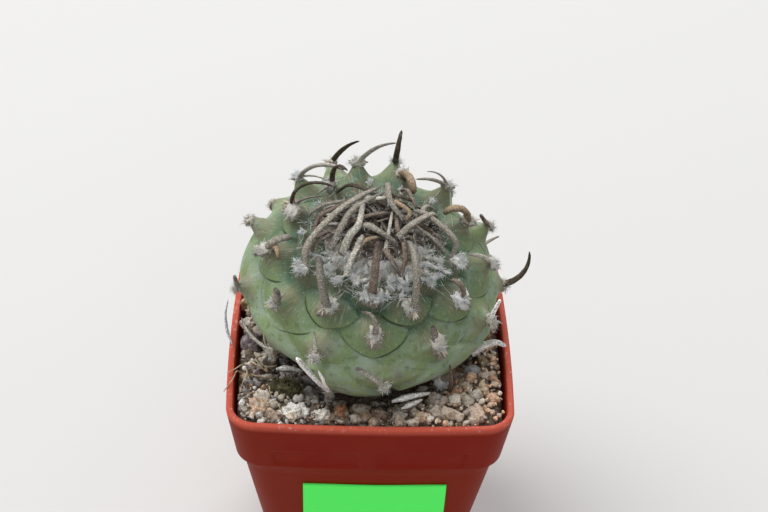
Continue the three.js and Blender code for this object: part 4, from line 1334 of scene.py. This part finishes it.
# Root fibres over the left of the rim and around the dried moss: places over the rim
fibres = [
    [(-22.5, -13, -2.2), (-24, -13.8, 0.8), (-24.8, -15.6, 0.6), (-25.5, -17.5, -1)],
    [(-25, -11.8, -1.5), (-26.2, -13.6, 1.2), (-26.9, -15.8, 1.1), (-28.6, -17.6, -0.6)],
    [(-23.5, -9.5, -1.6), (-25.2, -11, 0.6), (-26.5, -12.6, 1.0), (-28.2, -13.6, 0.6)],
    [(-19, -12, -2), (-21.5, -13.4, -0.4), (-24.2, -13.2, 0.2)],
    [(-22, -16, -2.4), (-23.6, -14.6, -0.6), (-24.4, -12.4, 0.2), (-23.8, -10.6, -0.8)],
    [(-19.9, -14.7, -1.6), (-19.4, -18, -0.9), (-18, -20.5, -0.8), (-16.9, -22.6, -1.3)],
    [(-21.6, -6.8, -0.6), (-22.8, -9.4, 0.6), (-20.8, -10.8, 0), (-18.6, -9.6, -0.8)],
    [(-24.6, -7.6, -1), (-23, -10.4, 0.4), (-20.4, -11.8, -0.4)],
]
fibreLook = {"radius": (0.14, 0.24), "dark": (0.30, 0.21, 0.12), "light": (0.55, 0.46, 0.33)}


def fibreFinish(name, dark, light):
    finish = Finish(name, {"Roughness": 0.85, "Specular IOR Level": 0.2})
    finish.feed("Base Color", finish.mix(finish.noise(1.2, 3).between(0.35, 0.65), dark, light))
    return finish


def makeMoss():
    draw = np.random.default_rng(19)
    pile = Pile()
    centre = np.array(moss["place"]) + [0, 0, rimTop]
    points, faces = lump(draw, centre, moss["size"], 4, 0.35, 0.4, False)
    pile.add(points, faces, tone=0.3)
    for _ in range(moss["blades"]):
        heading = unit(draw.normal(size=3) * [1, 1, 0.5] + [0, 0, 0.9])
        root = centre + heading * [2.5, 2.2, 1.6]
        bent = heading + draw.normal(size=3) * 0.4
        addHair(pile, root, bent, draw.uniform(0.7, 1.9), 0.09, draw, 0.7, 1.0)
    pile.build("mossTuft", fibreFinish("driedMoss", moss["dark"], moss["light"]), "moss", "moss_tuft")


def makeFibres():
    draw = np.random.default_rng(20)
    pile = Pile()
    for places in fibres:
        path = curveThrough(np.array(places) + [0, 0, rimTop], 24)
        radii = draw.uniform(*fibreLook["radius"]) * np.linspace(1, 0.6, len(path))
        pile.addLoft(tubeRings(path, radii, 6))
    pile.build("rootFibres", fibreFinish("tanFibre", fibreLook["dark"], fibreLook["light"]), "moss")


makeMoss()
makeFibres()

# Stage: a pale floor, an even sky and soft lamps
studio = {
    "floor": (0.515, 0.51, 0.50), "floorCloud": (0.50, 0.49, 0.475), "floorGlow": 0.1, "floorHalf": 1500.0,
    "skyHigh": 0.62, "skyLow": 0.22, "skyTint": (0.97, 0.985, 1.0, 1),
}
# each lamp's place, what it is aimed at and its width, in metres, and its power in watts
lamps = [
    ("softTop", (-0.75, 0.35, 1.4), (0, 0.05, 0.03), 1.5, 24.0),
    ("softBack", (0.5, 1.2, 0.9), (0, 0, 0.05), 0.8, 10.0),
    ("softFront", (0.3, -1.2, 0.9), (0, 0, 0.04), 0.8, 2.0),
]
# the view: place from the middle of the rim's plane in millimetres, and turns in radians
view = {"lens": 69.6, "place": (2.2, -230.5, 198.1), "down": 0.658, "yaw": 0.0365, "roll": 0.0405}


def makeFloor():
    steps = 24
    line = np.linspace(-studio["floorHalf"], studio["floorHalf"], steps + 1)
    x, y = [grid.ravel() for grid in np.meshgrid(line, line)]
    corner = (np.arange(steps)[:, None] * (steps + 1) + np.arange(steps)).ravel()
    faces = np.stack([corner, corner + 1, corner + steps + 2, corner + steps + 1], 1)
    mesh = bpy.data.meshes.new("floor")
    mesh.from_pydata((np.stack([x, y, np.zeros(len(x))], 1) * mm).tolist(), [], faces.tolist())
    finish = Finish("paleFloor", {"Roughness": 0.8, "Specular IOR Level": 0.2,
                                  "Emission Color": (1, 0.995, 0.985, 1),
                                  "Emission Strength": studio["floorGlow"]})
    cloudy = finish.mix(finish.noise(400, 2) * 0.3, studio["floor"], studio["floorCloud"])
    finish.feed("Base Color", cloudy)
    mesh.materials.append(finish.material)
    floor = bpy.data.objects.new("floor", mesh)
    bpy.context.scene.collection.objects.link(floor)


def makeSky():
    # brighter overhead than towards the horizon
    world = bpy.data.worlds.new("studioSky")
    world.use_nodes = True
    tree = world.node_tree
    place = tree.nodes.new("ShaderNodeTexCoord")
    split = tree.nodes.new("ShaderNodeSeparateXYZ")
    strength = tree.nodes.new("ShaderNodeMapRange")
    tree.links.new(place.outputs["Generated"], split.inputs[0])
    tree.links.new(split.outputs[2], strength.inputs["Value"])
    strength.inputs["From Min"].default_value = -0.1
    strength.inputs["To Min"].default_value = studio["skyLow"]
    strength.inputs["To Max"].default_value = studio["skyHigh"]
    tree.links.new(strength.outputs[0], tree.nodes["Background"].inputs["Strength"])
    tree.nodes["Background"].inputs["Color"].default_value = studio["skyTint"]
    bpy.context.scene.world = world


def addSoftLight(name, place, aim, size, power):
    lamp = bpy.data.lights.new(name, "AREA")
    lamp.shape = "DISK"
    lamp.size = size
    lamp.energy = power
    holder = bpy.data.objects.new(name, lamp)
    holder.location = place
    holder.rotation_euler = (Vector(aim) - Vector(place)).to_track_quat("-Z", "Y").to_euler()
    bpy.context.scene.collection.objects.link(holder)


def makeCamera():
    turn = np.array(Matrix.Rotation(-view["yaw"], 3, "Z"))
    down, roll = view["down"], view["roll"]
    ahead = np.array([0, math.cos(down), -math.sin(down)])
    right = np.array([1.0, 0, 0])
    upward = np.array([0, math.sin(down), math.cos(down)])
    rolledRight = math.cos(roll) * right + math.sin(roll) * upward
    rolledUp = -math.sin(roll) * right + math.cos(roll) * upward
    place = turn @ np.array(view["place"]) + [0, 0, rimTop]
    axes = np.stack([turn @ rolledRight, turn @ rolledUp, -(turn @ ahead)], 1)
    camera = bpy.data.objects.new("camera", bpy.data.cameras.new("camera"))
    camera.data.lens = view["lens"]
    camera.data.sensor_width = 36
    camera.data.clip_start = 0.01
    camera.matrix_world = Matrix.Translation(place * mm) @ Matrix(axes.tolist()).to_4x4()
    bpy.context.scene.collection.objects.link(camera)
    bpy.context.scene.camera = camera


makeFloor()
makeSky()
for lamp in lamps:
    addSoftLight(*lamp)
bpy.context.scene.view_settings.view_transform = "Standard"
makeCamera()
print("stage: floor, lights and camera")
